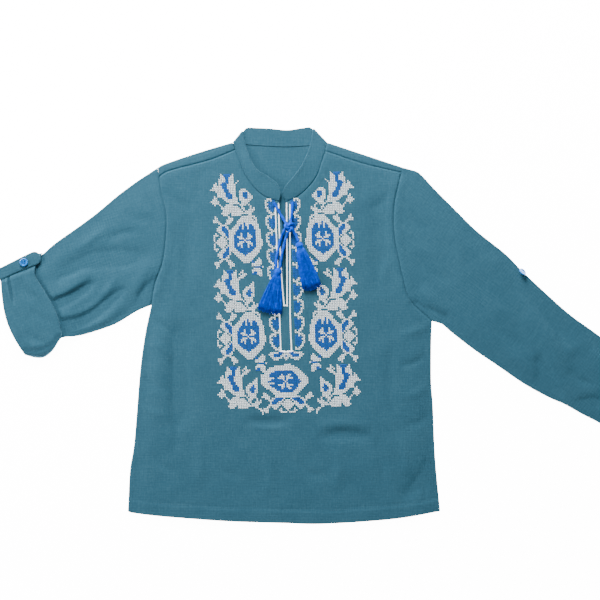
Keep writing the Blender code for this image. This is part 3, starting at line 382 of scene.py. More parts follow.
def mesh_object(name, points, quads, look, uv=None, tris=None):
    """An object at the origin from points, quads and triangles; uv holds two numbers for each point."""
    mesh = bpy.data.meshes.new(name)
    tris = np.empty((0, 3), int) if tris is None else tris
    corners = np.concatenate([quads.ravel(), tris.ravel()]).astype(np.int32)
    starts = np.concatenate([np.arange(len(quads)) * 4, quads.size + np.arange(len(tris)) * 3])
    mesh.vertices.add(len(points))
    mesh.vertices.foreach_set("co", np.ascontiguousarray(points, dtype=np.float32).ravel())
    mesh.loops.add(len(corners))
    mesh.loops.foreach_set("vertex_index", corners)
    mesh.polygons.add(len(starts))
    mesh.polygons.foreach_set("loop_start", starts.astype(np.int32))
    mesh.update(calc_edges=True)
    if uv is not None:
        mesh.uv_layers.new(name="weave").data.foreach_set("uv", uv[corners].astype(np.float32).ravel())
    mesh.shade_smooth()
    mesh.materials.append(look)
    made = bpy.data.objects.new(name, mesh)
    bpy.context.scene.collection.objects.link(made)
    return made


def fan(ring, tip):
    """Triangles from each edge of a ring of point numbers to one tip."""
    return np.column_stack([ring, np.roll(ring, -1), np.full(len(ring), tip)])


def cloth(name, grids, look, thickness=LINEN_WALL, grain=0.0):
    """Grids of (points, closed, up) joined into one skin with a wall behind it; grain turns the weave.

    up says whether the grid's first columns face up; its quads are turned round where they don't.
    """
    points, faces, start = [], [], 0
    for grid, closed, up in grids:
        rows, columns, _ = grid.shape
        quads = grid_quads(rows, columns, closed, start)
        i, j = rows // 2, min(3, columns - 2)
        facing = np.cross(grid[i, j + 1] - grid[i, j], grid[i + 1, j] - grid[i, j])[2]
        faces.append(quads if (facing > 0) == up else quads[:, ::-1])
        points.append(grid.reshape(-1, 3))
        start += rows * columns
    points, faces = np.vstack(points), np.vstack(faces)
    places = np.round(points / SAME_PLACE)
    _, first, place = np.unique(places, axis=0, return_index=True, return_inverse=True)
    points, faces = points[first], place.ravel()[faces]
    turned = np.array([[math.cos(grain), -math.sin(grain)], [math.sin(grain), math.cos(grain)]])
    made = mesh_object(name, points, faces, look, uv=points[:, :2] @ turned)
    wall = made.modifiers.new("wall", "SOLIDIFY")
    wall.thickness = thickness
    wall.offset = -1.0
    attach(made, "root")
    print(name, "quads:", len(faces))
    return made


def tube_mesh(name, path, radius, look, sides, lobes, pitch, depth, closed=False):
    """A round tube: rings across the path, of radius r (1 + depth cos(lobes angle - twist))."""
    around = np.roll(path, -1, axis=0) - np.roll(path, 1, axis=0)
    ahead = unit(around if closed else np.gradient(path, axis=0))
    side = unit(np.cross(ahead, [0.0, 0.0, 1.0]))
    above = np.cross(side, ahead)
    run = np.r_[0, np.cumsum(np.linalg.norm(np.diff(path, axis=0), axis=1))]
    angle = np.linspace(0, 2 * math.pi, sides, endpoint=False)
    twist = 2 * math.pi * run[:, None] / pitch
    width = radius * (1 + depth * np.cos(lobes * angle - twist))
    ring = (path[:, None] + side[:, None] * (width * np.cos(angle))[..., None]
            + above[:, None] * (width * np.sin(angle))[..., None])
    uv = np.column_stack([np.repeat(run, sides), np.tile(angle / (2 * math.pi), len(path))])
    points = ring.reshape(-1, 3)
    faces = grid_quads(len(path), sides, True, 0)[:, ::-1]
    start, end = np.arange(sides), (len(path) - 1) * sides + np.arange(sides)
    if closed:
        seam = np.column_stack([end, start, np.roll(start, -1), np.roll(end, -1)])
        return mesh_object(name, points, np.vstack([faces, seam]), look, uv)
    points = np.vstack([points, path[0], path[-1]])
    uv = np.vstack([uv, [[0, 0], [run[-1], 0]]])
    caps = np.vstack([fan(start, len(points) - 2), fan(end, len(points) - 1)[:, ::-1]])
    return mesh_object(name, points, faces, look, uv, caps)


print("wall of the linen in mm:", LINEN_WALL / MM)

# %% [markdown]
# ## Finishes
#
# Washed linen is a plain weave of uneven yarns: fine crossing threads, thicker slubs that run a few
# centimetres along either way, and a faint mottling from washing. Its colour varies in those slubs far
# more than it shines. Each of these is a noise or wave texture on the weave's own coordinates.


# %% Node helpers
def new_look(name):
    """A material with its Principled shader, and a short way to add nodes and links."""
    made = bpy.data.materials.new(name)
    made.use_nodes = True
    tree = made.node_tree

    def add(kind, **values):
        node = tree.nodes.new(kind)
        for key, value in values.items():
            if hasattr(node, key):
                setattr(node, key, value)
            else:
                node.inputs[key.replace("_", " ")].default_value = value
        return node

    return made, tree, add, tree.nodes["Principled BSDF"]


def stretched_noise(tree, add, source, scale, stretch, detail=2.0):
    """Noise on coordinates scaled unevenly, so that its blots become streaks along one thread direction."""
    turn = add("ShaderNodeMapping")
    turn.inputs["Scale"].default_value = stretch
    noise = add("ShaderNodeTexNoise", Scale=scale, Detail=detail, Roughness=0.55)
    tree.links.new(source, turn.inputs["Vector"])
    tree.links.new(turn.outputs["Vector"], noise.inputs["Vector"])
    return noise.outputs["Fac"]


def weighted(tree, add, *terms):
    """The sum of value * weight over the terms, as a chain of multiply-add nodes."""
    total = None
    for value, weight in terms:
        node = add("ShaderNodeMath", operation="MULTIPLY_ADD")
        tree.links.new(value, node.inputs[0])
        node.inputs[1].default_value = weight
        node.inputs[2].default_value = 0.0
        if total is not None:
            tree.links.new(total, node.inputs[2])
        total = node.outputs[0]
    return total


def colour_ramp(tree, add, value, stops):
    """A colour ramp through (place, colour) stops."""
    ramp = add("ShaderNodeValToRGB")
    elements = ramp.color_ramp.elements
    while len(elements) < len(stops):
        elements.new(0.5)
    for element, (place, colour) in zip(elements, stops):
        element.position = place
        element.color = (*colour, 1.0)
    tree.links.new(value, ramp.inputs["Fac"])
    return ramp.outputs["Color"]


# %% Washed linen
THREAD_PITCH = 0.62 * MM


def make_linen(name, dark, mid, pale):
    """Linen: slub streaks both ways and mottling set the colour, crossing threads and slubs the bump."""
    look, tree, add, shader = new_look(name)
    uv = add("ShaderNodeUVMap", uv_map="weave").outputs["UV"]
    slub_u = stretched_noise(tree, add, uv, 1.0, (45, 900, 1))
    slub_v = stretched_noise(tree, add, uv, 1.0, (900, 45, 1))
    yarn_u = stretched_noise(tree, add, uv, 1.0, (160, 2600, 1))
    yarn_v = stretched_noise(tree, add, uv, 1.0, (2600, 160, 1))
    wash = stretched_noise(tree, add, uv, 1.0, (22, 22, 1), detail=4.0)
    fleck = stretched_noise(tree, add, uv, 1.0, (330, 330, 1), detail=3.0)
    tone = weighted(tree, add, (slub_u, 0.17), (slub_v, 0.17), (yarn_u, 0.20), (yarn_v, 0.20), (wash, 0.10),
                    (fleck, 0.16))
    colour = colour_ramp(tree, add, tone, [(0.38, dark), (0.5, mid), (0.62, pale)])
    tree.links.new(colour, shader.inputs["Base Color"])
    waves = []
    for direction in ("X", "Y"):
        wave = add("ShaderNodeTexWave", wave_type="BANDS", bands_direction=direction, wave_profile="SIN",
                   Scale=1.0 / (THREAD_PITCH * 20), Distortion=0.6, Detail=1.0)
        tree.links.new(uv, wave.inputs["Vector"])
        waves.append(wave.outputs["Fac"])
    relief = weighted(tree, add, (waves[0], 0.3), (waves[1], 0.3), (slub_u, 0.5), (slub_v, 0.5),
                      (yarn_u, 0.4), (yarn_v, 0.4), (fleck, 0.3))
    bump = add("ShaderNodeBump", Strength=0.55, Distance=0.35 * MM)
    tree.links.new(relief, bump.inputs["Height"])
    tree.links.new(bump.outputs["Normal"], shader.inputs["Normal"])
    shader.inputs["Roughness"].default_value = 0.88
    shader.inputs["Specular IOR Level"].default_value = 0.16
    shader.inputs["Sheen Weight"].default_value = 0.10
    shader.inputs["Sheen Roughness"].default_value = 0.6
    shader.inputs["Sheen Tint"].default_value = (0.45, 0.85, 1.0, 1.0)
    return look


linen = make_linen("washed teal linen", (0.014, 0.062, 0.098), (0.021, 0.083, 0.127), (0.033, 0.110, 0.160))
print("linen thread pitch in mm:", round(THREAD_PITCH / MM, 2))

# %% [markdown]
# ### Threads, cord and buttons
#
# Embroidery cotton has a soft sheen along its fibres. The tie is a bright royal blue yarn, a little
# glossier. Each gets fine streaks along the yarn and a slight change of tone, never one flat colour. The
# white thread also glows a little, because the picture's brightest tones come out greyer than bleached
# cotton looks. The buttons keep the shape of their solids and get a cloudy, pearly blue.


# %% Yarn finishes
YARN_PITCH = 0.5 * MM


def make_yarn(name, dark, pale, roughness, sheen, tint=(1.0, 1.0, 1.0), glow=0.0):
    """Yarn: fine fibres as streaks along the thread, and a slow change of tone from stitch to stitch."""
    look, tree, add, shader = new_look(name)
    place = add("ShaderNodeTexCoord").outputs["Object"]
    tone = stretched_noise(tree, add, place, 1.0, (240, 240, 240), detail=2.0)
    stretch = np.array([0.35, 0.9, 0.9]) / YARN_PITCH
    fibre = stretched_noise(tree, add, place, 1.0, stretch, detail=3.0)
    mixed = weighted(tree, add, (tone, 0.6), (fibre, 0.4))
    colour = colour_ramp(tree, add, mixed, [(0.36, dark), (0.62, pale)])
    tree.links.new(colour, shader.inputs["Base Color"])
    bump = add("ShaderNodeBump", Strength=0.35, Distance=0.12 * MM)
    tree.links.new(fibre, bump.inputs["Height"])
    tree.links.new(bump.outputs["Normal"], shader.inputs["Normal"])
    shader.inputs["Roughness"].default_value = roughness
    shader.inputs["Specular IOR Level"].default_value = 0.3
    shader.inputs["Specular Tint"].default_value = (*tint, 1.0)
    shader.inputs["Sheen Weight"].default_value = sheen
    shader.inputs["Sheen Tint"].default_value = (*tint, 1.0)
    shader.inputs["Emission Color"].default_value = (*pale, 1.0)
    shader.inputs["Emission Strength"].default_value = glow
    return look


white_thread = make_yarn("white embroidery cotton", (0.86, 0.88, 0.88), (0.94, 0.97, 0.98), 0.6, 0.15,
                         glow=1.3)
blue_thread = make_yarn("blue embroidery cotton", (0.001, 0.060, 0.420), (0.008, 0.135, 0.760), 0.55, 0.1,
                        tint=(0.1, 0.4, 1.0))
teal_thread = make_yarn("teal sewing thread", (0.018, 0.072, 0.108), (0.030, 0.100, 0.146), 0.7, 0.0)
# The seam thread is darker than the linen as painted shade: it draws the shadow line along the back neck
# seam.
seam_thread_dark_as_shade = make_yarn("seam thread, dark as painted shade", (0.008, 0.032, 0.050), (0.014, 0.052, 0.076), 0.8, 0.0)
royal_yarn = make_yarn("royal blue tie yarn", (0.0, 0.030, 0.330), (0.0, 0.085, 0.720), 0.5, 0.1,
                       tint=(0.0, 0.3, 1.0))
print("yarns:", white_thread.name, blue_thread.name, teal_thread.name, royal_yarn.name)

# %% Pearly button
button_look, tree, add, shader = new_look("pearly blue button")
place_on_button = add("ShaderNodeTexCoord").outputs["Object"]
cloud = stretched_noise(tree, add, place_on_button, 1.0, (260, 420, 260), detail=3.0)
pearl = colour_ramp(tree, add, cloud, [(0.35, (0.0, 0.085, 0.38)), (0.65, (0.012, 0.20, 0.62))])
tree.links.new(pearl, shader.inputs["Base Color"])
shader.inputs["Roughness"].default_value = 0.4
shader.inputs["Specular Tint"].default_value = (0.3, 0.7, 1.0, 1.0)
shader.inputs["Coat Weight"].default_value = 0.1
for node in ("button_left", "button_right"):
    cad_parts[node].data.materials.clear()
    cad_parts[node].data.materials.append(button_look)
print("buttons finished")

# %% [markdown]
# ## The tie
#
# Two twisted cords leave the collar's ends and meet in one knot; below it the left one hangs doubled
# down to its tassel and the right one is short. They are limp, so they simply lie on the cloth. Each
# route is a given list of points, made smooth, and set on the relief of the front. The three plies of
# the cord show as lobes of its section that turn along its length.

# %% Cord routes in millimetres, columns x and y
CORD = 4.0 * MM
CORD_RADIUS = 0.94 * CORD / 2
CORD_TWIST = 9 * MM
PLIES = 3
PLY_DEPTH = 0.13
KNOT_PLACE = np.array([7.7, 137.0]) * MM
KNOT_HEIGHT = 4.2 * MM
KNOT_RADIUS = 8.0 * MM
KNOT_SLOPE = 9 * MM
TASSEL_RISE = 1.5 * MM
CORD_STEP = 0.9 * MM
LEFT_CORD = [(-14.0, 171.0), (-9.0, 162.5), (-4.0, 153.0), (2.6, 142.8), (3.4, 137.6), (0.6, 132.6),
             (-4.4, 121.0), (-7.6, 107.0), (-10.6, 92.0), (-11.2, 80.4)]
RIGHT_CORD = [(12.0, 172.0), (11.8, 164.0), (10.8, 154.0), (9.3, 144.6), (10.2, 137.4), (13.3, 131.4),
              (17.0, 124.5), (20.1, 116.8)]
RETURN_CORD = [(5.3, 129.7), (1.2, 116.0), (-2.6, 100.0), (-4.2, 90.0), (-5.5, 80.1)]


def resting_height(flat, reach):
    """The highest place of the cloth under a disc of this radius, and the usual gap above it."""
    turn = np.linspace(0, 2 * math.pi, 8, endpoint=False)
    ring = np.column_stack([np.cos(turn), np.sin(turn)]) * reach
    spots = (flat[:, None] + np.vstack([ring, [[0, 0]]])).reshape(-1, 2)
    return (CLOTH * 2 + GAP + lift(spots, small=False)).reshape(len(flat), -1).max(axis=1) + GAP


knot_rest = float(resting_height(KNOT_PLACE[None], KNOT_RADIUS)[0]) + KNOT_HEIGHT
cord_rest = float(resting_height(KNOT_PLACE[None], CORD)[0]) + CORD / 2
knot_rise = knot_rest - cord_rest


def laid_cord(route, count):
    """A route on the cloth: it rests on the relief, climbs near the knot and a little into the tassel."""
    flat = smooth_line(route, count)
    height = resting_height(flat, CORD * 0.6) + CORD / 2
    near = np.linalg.norm(flat - KNOT_PLACE, axis=1)
    height = height + knot_rise * np.exp(-(near / KNOT_SLOPE)**2)
    return np.column_stack([flat, height + TASSEL_RISE * np.linspace(0, 1, count)**3])


def make_cord(name, route, pieces, *nodes):
    """One cord of the tie: a three-ply tube along its route, laid on the cloth; the solid cords it replaces
    are hidden.
    """
    count = int(length_of(smooth_line(route)) / CORD_STEP)
    path = laid_cord(route, count)
    made = tube_mesh(name, path, CORD_RADIUS, royal_yarn, sides=18, lobes=PLIES, pitch=CORD_TWIST,
                     depth=PLY_DEPTH)
    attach(made, "root")
    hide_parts(*nodes)
    print(name, "length in mm:", round(length_of(path) / MM, 1))


# %% [markdown]
# ### Knot and tassels
#
# The knot is an overhand knot pulled flat: a trefoil is just that knot with its ends joined, so a tube
# along a flattened trefoil curve gives the crossing turns. A tassel is a bound head with a skirt of
# fine strands; each strand is a thin three-sided thread that leaves the head, fans out and ends near
# the cloth, a little longer or shorter than its neighbours.

# %% Knot
KNOT_SIZE = np.array([2.15, 1.95, 2.1]) * MM
KNOT_CORD_RADIUS = 2.0 * MM
KNOT_TWISTS = 7
KNOT_PLY_DEPTH = 0.10
around = np.linspace(0, 2 * math.pi, 120, endpoint=False)
trefoil = np.column_stack([np.sin(around) + 2 * np.sin(2 * around), np.cos(around) - 2 * np.cos(2 * around),
                           -np.sin(3 * around)])
knot_path = trefoil * KNOT_SIZE + [*KNOT_PLACE, knot_rest]
knot_length = length_of(np.vstack([knot_path, knot_path[:1]]))
knot = tube_mesh("tie_knot_turns", knot_path, KNOT_CORD_RADIUS, royal_yarn, sides=16, lobes=PLIES,
                 pitch=knot_length / KNOT_TWISTS, depth=KNOT_PLY_DEPTH, closed=True)
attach(knot, "root")
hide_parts("tie_knot")
print("knot turns at height in mm:", round(knot_rest / MM, 2))

# %% Tassel skirts
HEAD_RADIUS = 5.4 * MM
HEAD_LENGTH = 6.0 * MM
HEAD_HEIGHT = 4.0 * MM
STRANDS = 330
STRAND_STEPS = 8
STRAND_THIN, STRAND_GROWTH = 0.30 * MM, 0.16 * MM
SKIRT_TOP = 3.9 * MM
SKIRT_DEPTH = 2.5 * MM
SKIRT_REST = 2.6 * MM
STRAND_FOOT = 1.0 * MM
LOCKS = 21
LOCK_SIDE, LOCK_RISE = 0.9 * MM, 0.55 * MM
LEAST_AIR = 0.2 * MM
rng = np.random.default_rng(7)


def make_skirt(head, end, spread, middle, flare):
    """Strands from the head to the end: u * width across, width as share**flare, w high, lengths uneven."""
    way = unit(end - head)
    side = np.array([-way[1], way[0]])
    reach = np.linalg.norm(end - head)
    u = np.sin(np.linspace(-1, 1, STRANDS) * math.pi / 2) * 0.2 + np.linspace(-1, 1, STRANDS) * 0.8
    u = u + rng.normal(0, 0.015, STRANDS)
    w = rng.uniform(-1, 1, STRANDS) * np.sqrt(np.clip(1 - u**2, 0.08, 1))
    long = reach * (1 - 0.06 * u**2 + rng.normal(0, 0.018, STRANDS))
    share = np.linspace(0, 1, STRAND_STEPS)
    root = HEAD_LENGTH * 0.3
    down = root + (long[:, None] - root) * share
    wide = SKIRT_TOP + (spread - SKIRT_TOP) * share**flare
    lock_turn = u[:, None] * LOCKS + 2.0 * share
    locks = LOCK_SIDE * np.sin(lock_turn) * share
    across = u[:, None] * wide + locks + rng.normal(0, 0.5 * MM, (STRANDS, 1)) * share
    flat = head + way * down[..., None] + side * across[..., None]
    ground = resting_height(flat.reshape(-1, 2), STRAND_FOOT).reshape(down.shape)
    high = w[:, None] * SKIRT_DEPTH * (1 - 0.25 * share)
    high = high + LOCK_RISE * np.cos(lock_turn) * smoothstep(share * 2)
    rest = middle + (ground + SKIRT_REST - middle) * share**0.7
    height = np.maximum(rest + high, ground + LEAST_AIR)
    path = np.concatenate([flat, height[..., None]], axis=2)
    thick = STRAND_THIN + STRAND_GROWTH * share
    corner = np.arange(3) * 2 * math.pi / 3 + math.pi / 2
    ring = (path[:, :, None] + np.append(side, 0) * (thick[:, None] * np.cos(corner))[None, ..., None]
            + np.array([0, 0, 1]) * (thick[:, None] * np.sin(corner))[None, ..., None])
    points = ring.reshape(-1, 3)
    first = (np.arange(STRANDS) * 3 * STRAND_STEPS)[:, None, None]
    last = 3 * STRAND_STEPS - 3
    quads = (grid_quads(STRAND_STEPS, 3, True, 0)[None] + first).reshape(-1, 4)
    tris = (np.array([[2, 1, 0], [last, last + 1, last + 2]])[None] + first).reshape(-1, 3)
    return points, quads, tris


print("strands in each skirt:", STRANDS)

# %% Tassel heads
HEAD_ROWS, HEAD_COLUMNS = 34, 28
POLE_GAP = 0.06
WRAP_DEPTH, WRAPS = 0.045, 16
NECK_DEPTH, NECK_PLACE, NECK_WIDTH = 0.16, 2.05, 0.22


def make_head(head, way, middle):
    """The bound head: an egg with ring-shaped wraps and a drawn-in neck, both ripples of its radius."""
    v, u = np.meshgrid(np.linspace(POLE_GAP, math.pi - POLE_GAP, HEAD_ROWS),
                       np.linspace(0, 2 * math.pi, HEAD_COLUMNS, endpoint=False), indexing="ij")
    bound = 1 + WRAP_DEPTH * np.cos(v * WRAPS) - NECK_DEPTH * np.exp(-((v - NECK_PLACE) / NECK_WIDTH)**2)
    out, up = np.sin(v) * bound * HEAD_RADIUS * np.cos(u), np.sin(v) * bound * HEAD_HEIGHT * np.sin(u)
    side = np.array([-way[1], way[0]])
    flat = head - way * (np.cos(v) * HEAD_LENGTH)[..., None] + side * out[..., None]
    points = np.concatenate([flat, (middle + up)[..., None]], axis=2).reshape(-1, 3)
    tips = [[*(head - way * HEAD_LENGTH), middle], [*(head + way * HEAD_LENGTH), middle]]
    count = len(points)
    tris = np.vstack([fan(np.arange(HEAD_COLUMNS), count)[:, ::-1],
                      fan(np.arange(count - HEAD_COLUMNS, count), count + 1)])
    return np.vstack([points, tips]), grid_quads(HEAD_ROWS, HEAD_COLUMNS, True, 0), tris


print("tassel head in mm:", 2 * HEAD_RADIUS / MM, "wide,", 2 * HEAD_LENGTH / MM, "long")

# %% Both tassels: columns name, head x, head y, skirt end x, skirt end y, half width there (mm), flare
TASSELS = [("left", -8.4, 74.0, -20.5, 17.5, 17.0, 0.85), ("right", 21.6, 110.5, 40.6, 50.5, 12.9, 0.6)]
tassels = {}
for name, head_x, head_y, end_x, end_y, spread, flare in TASSELS:
    head, end = np.array([head_x, head_y]) * MM, np.array([end_x, end_y]) * MM
    middle = float(resting_height(head[None], HEAD_RADIUS)[0]) + HEAD_HEIGHT
    skirt_points, skirt_quads, skirt_tris = make_skirt(head, end, spread * MM, middle, flare)
    head_points, head_quads, head_tris = make_head(head, unit(end - head), middle)
    points, count = np.vstack([skirt_points, head_points]), len(skirt_points)
    quads, tris = np.vstack([skirt_quads, head_quads + count]), np.vstack([skirt_tris, head_tris + count])
    made = mesh_object(f"tassel_{name}_yarn", points, quads, royal_yarn, tris=tris)
    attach(made, "root")
    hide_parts(f"tassel_{name}")
    tassels[name] = made
    print("tassel", name, "top in mm:", round(points[:, 2].max() / MM, 1))

# %% Cords
make_cord("tie_left_cord", LEFT_CORD, [knot, tassels["left"]], "tie_cord_left_top", "tie_cord_left_end")
make_cord("tie_right_cord", RIGHT_CORD, [tassels["right"]], "tie_cord_right_top", "tie_cord_right_end")
make_cord("tie_return_cord", RETURN_CORD, [tassels["left"]], "tie_cord_left_return")

# %% [markdown]
# ## The panels
#
# A panel is stretched between its four cut edges: every inner point is a blend of the points across
# from it on the edges, which is a Coons patch. The front is two such patches, left and right of the
# slit, that share the centre line below it. Close rows at the edges leave room for the cloth to roll
# over where it is turned in.


# %% Patches between edges
EDGE_STEPS = np.array([0.35, 0.9, 1.7, 3.0]) * MM


def edge_shares(count, length, *corners):
    """Shares of a length: close steps at both ends, even ones between, and one exactly at each corner."""
    near = EDGE_STEPS / length
    shares = np.r_[0, near, np.linspace(near[-1], 1 - near[-1], count)[1:-1], 1 - near[::-1], 1]
    for corner in corners:
        shares[np.abs(shares - corner).argmin()] = corner
    return shares


def bent_edge(lines, turns, shares):
    """One edge from several curves that meet at corners; turns are the shares at which each curve ends."""
    parts = []
    for line, a, b in zip(lines, [0.0, *turns[:-1]], turns):
        own = shares[((shares > a) | (a == 0)) & (shares <= b)]
        parts.append(along(line, (own - a) / (b - a)))
    return np.vstack(parts)


def coons(low, high, start, end, u, v):
    """(1 - v) low(u) + v high(u) + (1 - u) start(v) + u end(v), less the blend of the four corners."""
    u, v = u[:, None, None], v[None, :, None]
    corners = (1 - u) * ((1 - v) * low[0] + v * high[0]) + u * ((1 - v) * low[-1] + v * high[-1])
    return (1 - v) * low[:, None] + v * high[:, None] + (1 - u) * start[None] + u * end[None] - corners


def rolled_edge(points, lines, radius):
    """How far the skin drops at a turned edge: r - sqrt(r^2 - (r - d)^2) within r of the line."""
    away = np.min([line_distance(points, line)[0] for line in lines], axis=0)
    inside = np.clip(radius - away, 0, radius)
    return radius - np.sqrt(np.maximum(radius**2 - inside**2, 0))


# %% Front
FRONT_COLUMNS, HALF_WIDTH = 86, 210 * MM
FRONT_ROWS, FRONT_LENGTH = 196, 460 * MM
SLIT_END = 0.68
SIDE_ROLL = 1.5 * MM
HEM_ROLL = 0.7 * MM


def front_half(hem, side, arm, shoulder, neck, slit):
    """One half of the front as a flat patch from its side to the centre, hem to shoulder."""
    centre = np.vstack([slit[-1] * [1, 0] + hem[-1] * [0, 1], slit[-1]])
    outer = length_of(side) + length_of(arm)
    underarm = length_of(side) / outer
    neck_corner = length_of(shoulder) / (length_of(shoulder) + length_of(neck))
    u = edge_shares(FRONT_COLUMNS, HALF_WIDTH, neck_corner)
    v = edge_shares(FRONT_ROWS, FRONT_LENGTH, underarm, SLIT_END)
    low = along(hem, u)
    high = bent_edge([shoulder, neck], [neck_corner, 1.0], u)
    start = bent_edge([side, arm], [underarm, 1.0], v)
    end = bent_edge([centre, slit[::-1]], [SLIT_END, 1.0], v)
    return coons(low, high, start, end, u, v)


left_half = front_half(smooth_line(HEM[:5]), smooth_line(LEFT_SIDE)[::-1], smooth_line(LEFT_ARMHOLE)[::-1],
                       smooth_line(LEFT_SHOULDER_SEAM)[::-1], smooth_line(LEFT_NECK), smooth_line(SLIT_LEFT))
right_half = front_half(smooth_line(HEM[4:])[::-1], smooth_line(RIGHT_SIDE)[::-1],
                        smooth_line(RIGHT_ARMHOLE)[::-1], smooth_line(RIGHT_SHOULDER_SEAM)[::-1],
                        smooth_line(RIGHT_NECK), smooth_line(SLIT_RIGHT))
side_lines = [smooth_line(LEFT_SIDE), smooth_line(RIGHT_SIDE)]
slit_lines = [smooth_line(SLIT_LEFT[:-1]), smooth_line(SLIT_RIGHT[:-1])]


def raised(grid, height):
    """A flat grid with a height from a function of its points."""
    return np.concatenate([grid, height(grid.reshape(-1, 2)).reshape(grid.shape[:2])[..., None]], axis=2)


def front_height(points):
    """The front's face: the relief, rolled down at the side edges, the hem and the slit."""
    return (top_of_cloth(points) - rolled_edge(points, side_lines, SIDE_ROLL)
            - rolled_edge(points, [hem_line], HEM_ROLL) - rolled_edge(points, slit_lines, HEM_ROLL))


front = cloth("front_linen", [(raised(left_half, front_height), False, True),
                              (raised(right_half, front_height), False, True)], linen)
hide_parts("front")

# %% [markdown]
# ### The back and its shoulder strips
#
# The back lies face down on the table and runs forward over both shoulders to seams on the front side,
# a usual yoke-less cut. So its mesh is one flat patch with two strips that roll up over the folds.

# %% Back
BACK_COLUMNS, BACK_WIDTH = 110, 400 * MM
BACK_ROWS, BACK_LENGTH = 70, 460 * MM
STRIP_ROWS, STRIP_WIDTH = 8, 12 * MM


def fold_centre(points):
    """The line inside a folded edge about which the cloth turns, one fold radius in from the edge."""
    line = smooth_line(points)
    way = unit(np.gradient(line, axis=0))
    inward = np.column_stack([way[:, 1], -way[:, 0]])
    return line + FOLD * inward * np.where(inward[:, 1:] < 0, 1, -1)


left_fold, right_fold = fold_centre(LEFT_SHOULDER)[::-1], fold_centre(RIGHT_SHOULDER)
neck_line = smooth_line(BACK_NECK)
top_run = [length_of(left_fold), length_of(neck_line), length_of(right_fold)]
corners = (np.cumsum(top_run) / sum(top_run)).tolist()
back_columns = edge_shares(BACK_COLUMNS, BACK_WIDTH, *corners[:2])
back_sides = []
for side, arm, fold in ((LEFT_SIDE, LEFT_ARMHOLE, left_fold[::-1]), (RIGHT_SIDE, RIGHT_ARMHOLE, right_fold)):
    back_sides.append([smooth_line(side)[::-1], np.vstack([smooth_line(arm)[::-1][:-2], fold[-1:]])])
underarm = length_of(back_sides[0][0]) / sum(map(length_of, back_sides[0]))
back_rows = edge_shares(BACK_ROWS, BACK_LENGTH, underarm)
back_top = bent_edge([left_fold, neck_line, right_fold], [corners[0], corners[1], 1.0], back_columns)
left_edge, right_edge = (bent_edge(lines, [underarm, 1.0], back_rows) for lines in back_sides)
back_flat = coons(along(smooth_line(HEM), back_columns), back_top, left_edge, right_edge, back_columns,
                  back_rows)
back_grid = raised(back_flat, lambda points: np.zeros(len(points)))


def shoulder_strip(centre, seam):
    """From the flat back round a half circle of the fold's radius, then over the relief to the seam."""
    way = unit(np.gradient(centre, axis=0))
    out = np.column_stack([-way[:, 1], way[:, 0]])
    out = out * np.where(out[:, 1:] > 0, 1, -1)
    turn = np.radians(np.arange(-90, 91, 20))[:, None]
    arc = centre[None] + out[None] * (FOLD * np.cos(turn))[..., None]
    high = np.broadcast_to(FOLD + FOLD * np.sin(turn), arc.shape[:2])[..., None]
    share = edge_shares(STRIP_ROWS, STRIP_WIDTH)[1:, None, None]
    over = centre[None] + (seam - centre)[None] * share
    rolled = raised(over, top_of_cloth)
    return np.vstack([np.concatenate([arc, high], axis=2), rolled])


on_left, on_right = back_columns <= corners[0], back_columns >= corners[1]
left_seam = along(smooth_line(LEFT_SHOULDER_SEAM)[::-1], back_columns[on_left] / corners[0])
right_seam = along(smooth_line(RIGHT_SHOULDER_SEAM), (back_columns[on_right] - corners[1]) / (1 - corners[1]))
left_strip = shoulder_strip(back_top[on_left], left_seam)
right_strip = shoulder_strip(back_top[on_right], right_seam)
back = cloth("back_linen", [(back_grid, False, False), (left_strip, False, True), (right_strip, False, True)],
             linen)
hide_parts("back")

# %% [markdown]
# ### Sleeves
#
# A sleeve is a tube pressed flat: an upper layer with its creases, a rounded fold down each side and a
# plain lower layer on the table. Ring by ring it runs from the armhole seam to its end, and the weave
# turns with the arm, because a sleeve is cut along the grain of its own length.


# %% Flattened tubes
FOLD_STEPS = np.radians(np.array([60.0, 30.0, 0.0, -30.0, -60.0]))
EDGE_COLUMNS = 5
ARM_ROWS = 10


def flat_tube(patch, radius, base, top, lip=0.0):
    """Rings of a pressed tube: top columns, a half circle at one side, the lower layer back, a half circle.

    lip, one number for each ring, draws the first fold out to an ellipse that sticks out by so much more.
    """
    inner = EDGE_COLUMNS
    right, left = unit(patch[:, -1] - patch[:, -1 - inner]), unit(patch[:, 0] - patch[:, inner])
    folds = []
    for side, column, turns, reach in ((right, -1, FOLD_STEPS, radius + lip),
                                       (left, 0, FOLD_STEPS[::-1], radius)):
        wide = np.broadcast_to(reach, (len(patch),))[:, None] * np.cos(turns)
        flat = patch[:, column, None] + side[:, None] * wide[..., None]
        high = base[:, column, None] + radius + radius * np.sin(turns)
        folds.append(np.concatenate([flat, high[..., None]], axis=2))
    upper = np.concatenate([patch, top[..., None]], axis=2)
    lower = np.concatenate([patch, base[..., None]], axis=2)[:, ::-1]
    return np.concatenate([upper, folds[0], lower, folds[1]], axis=1)


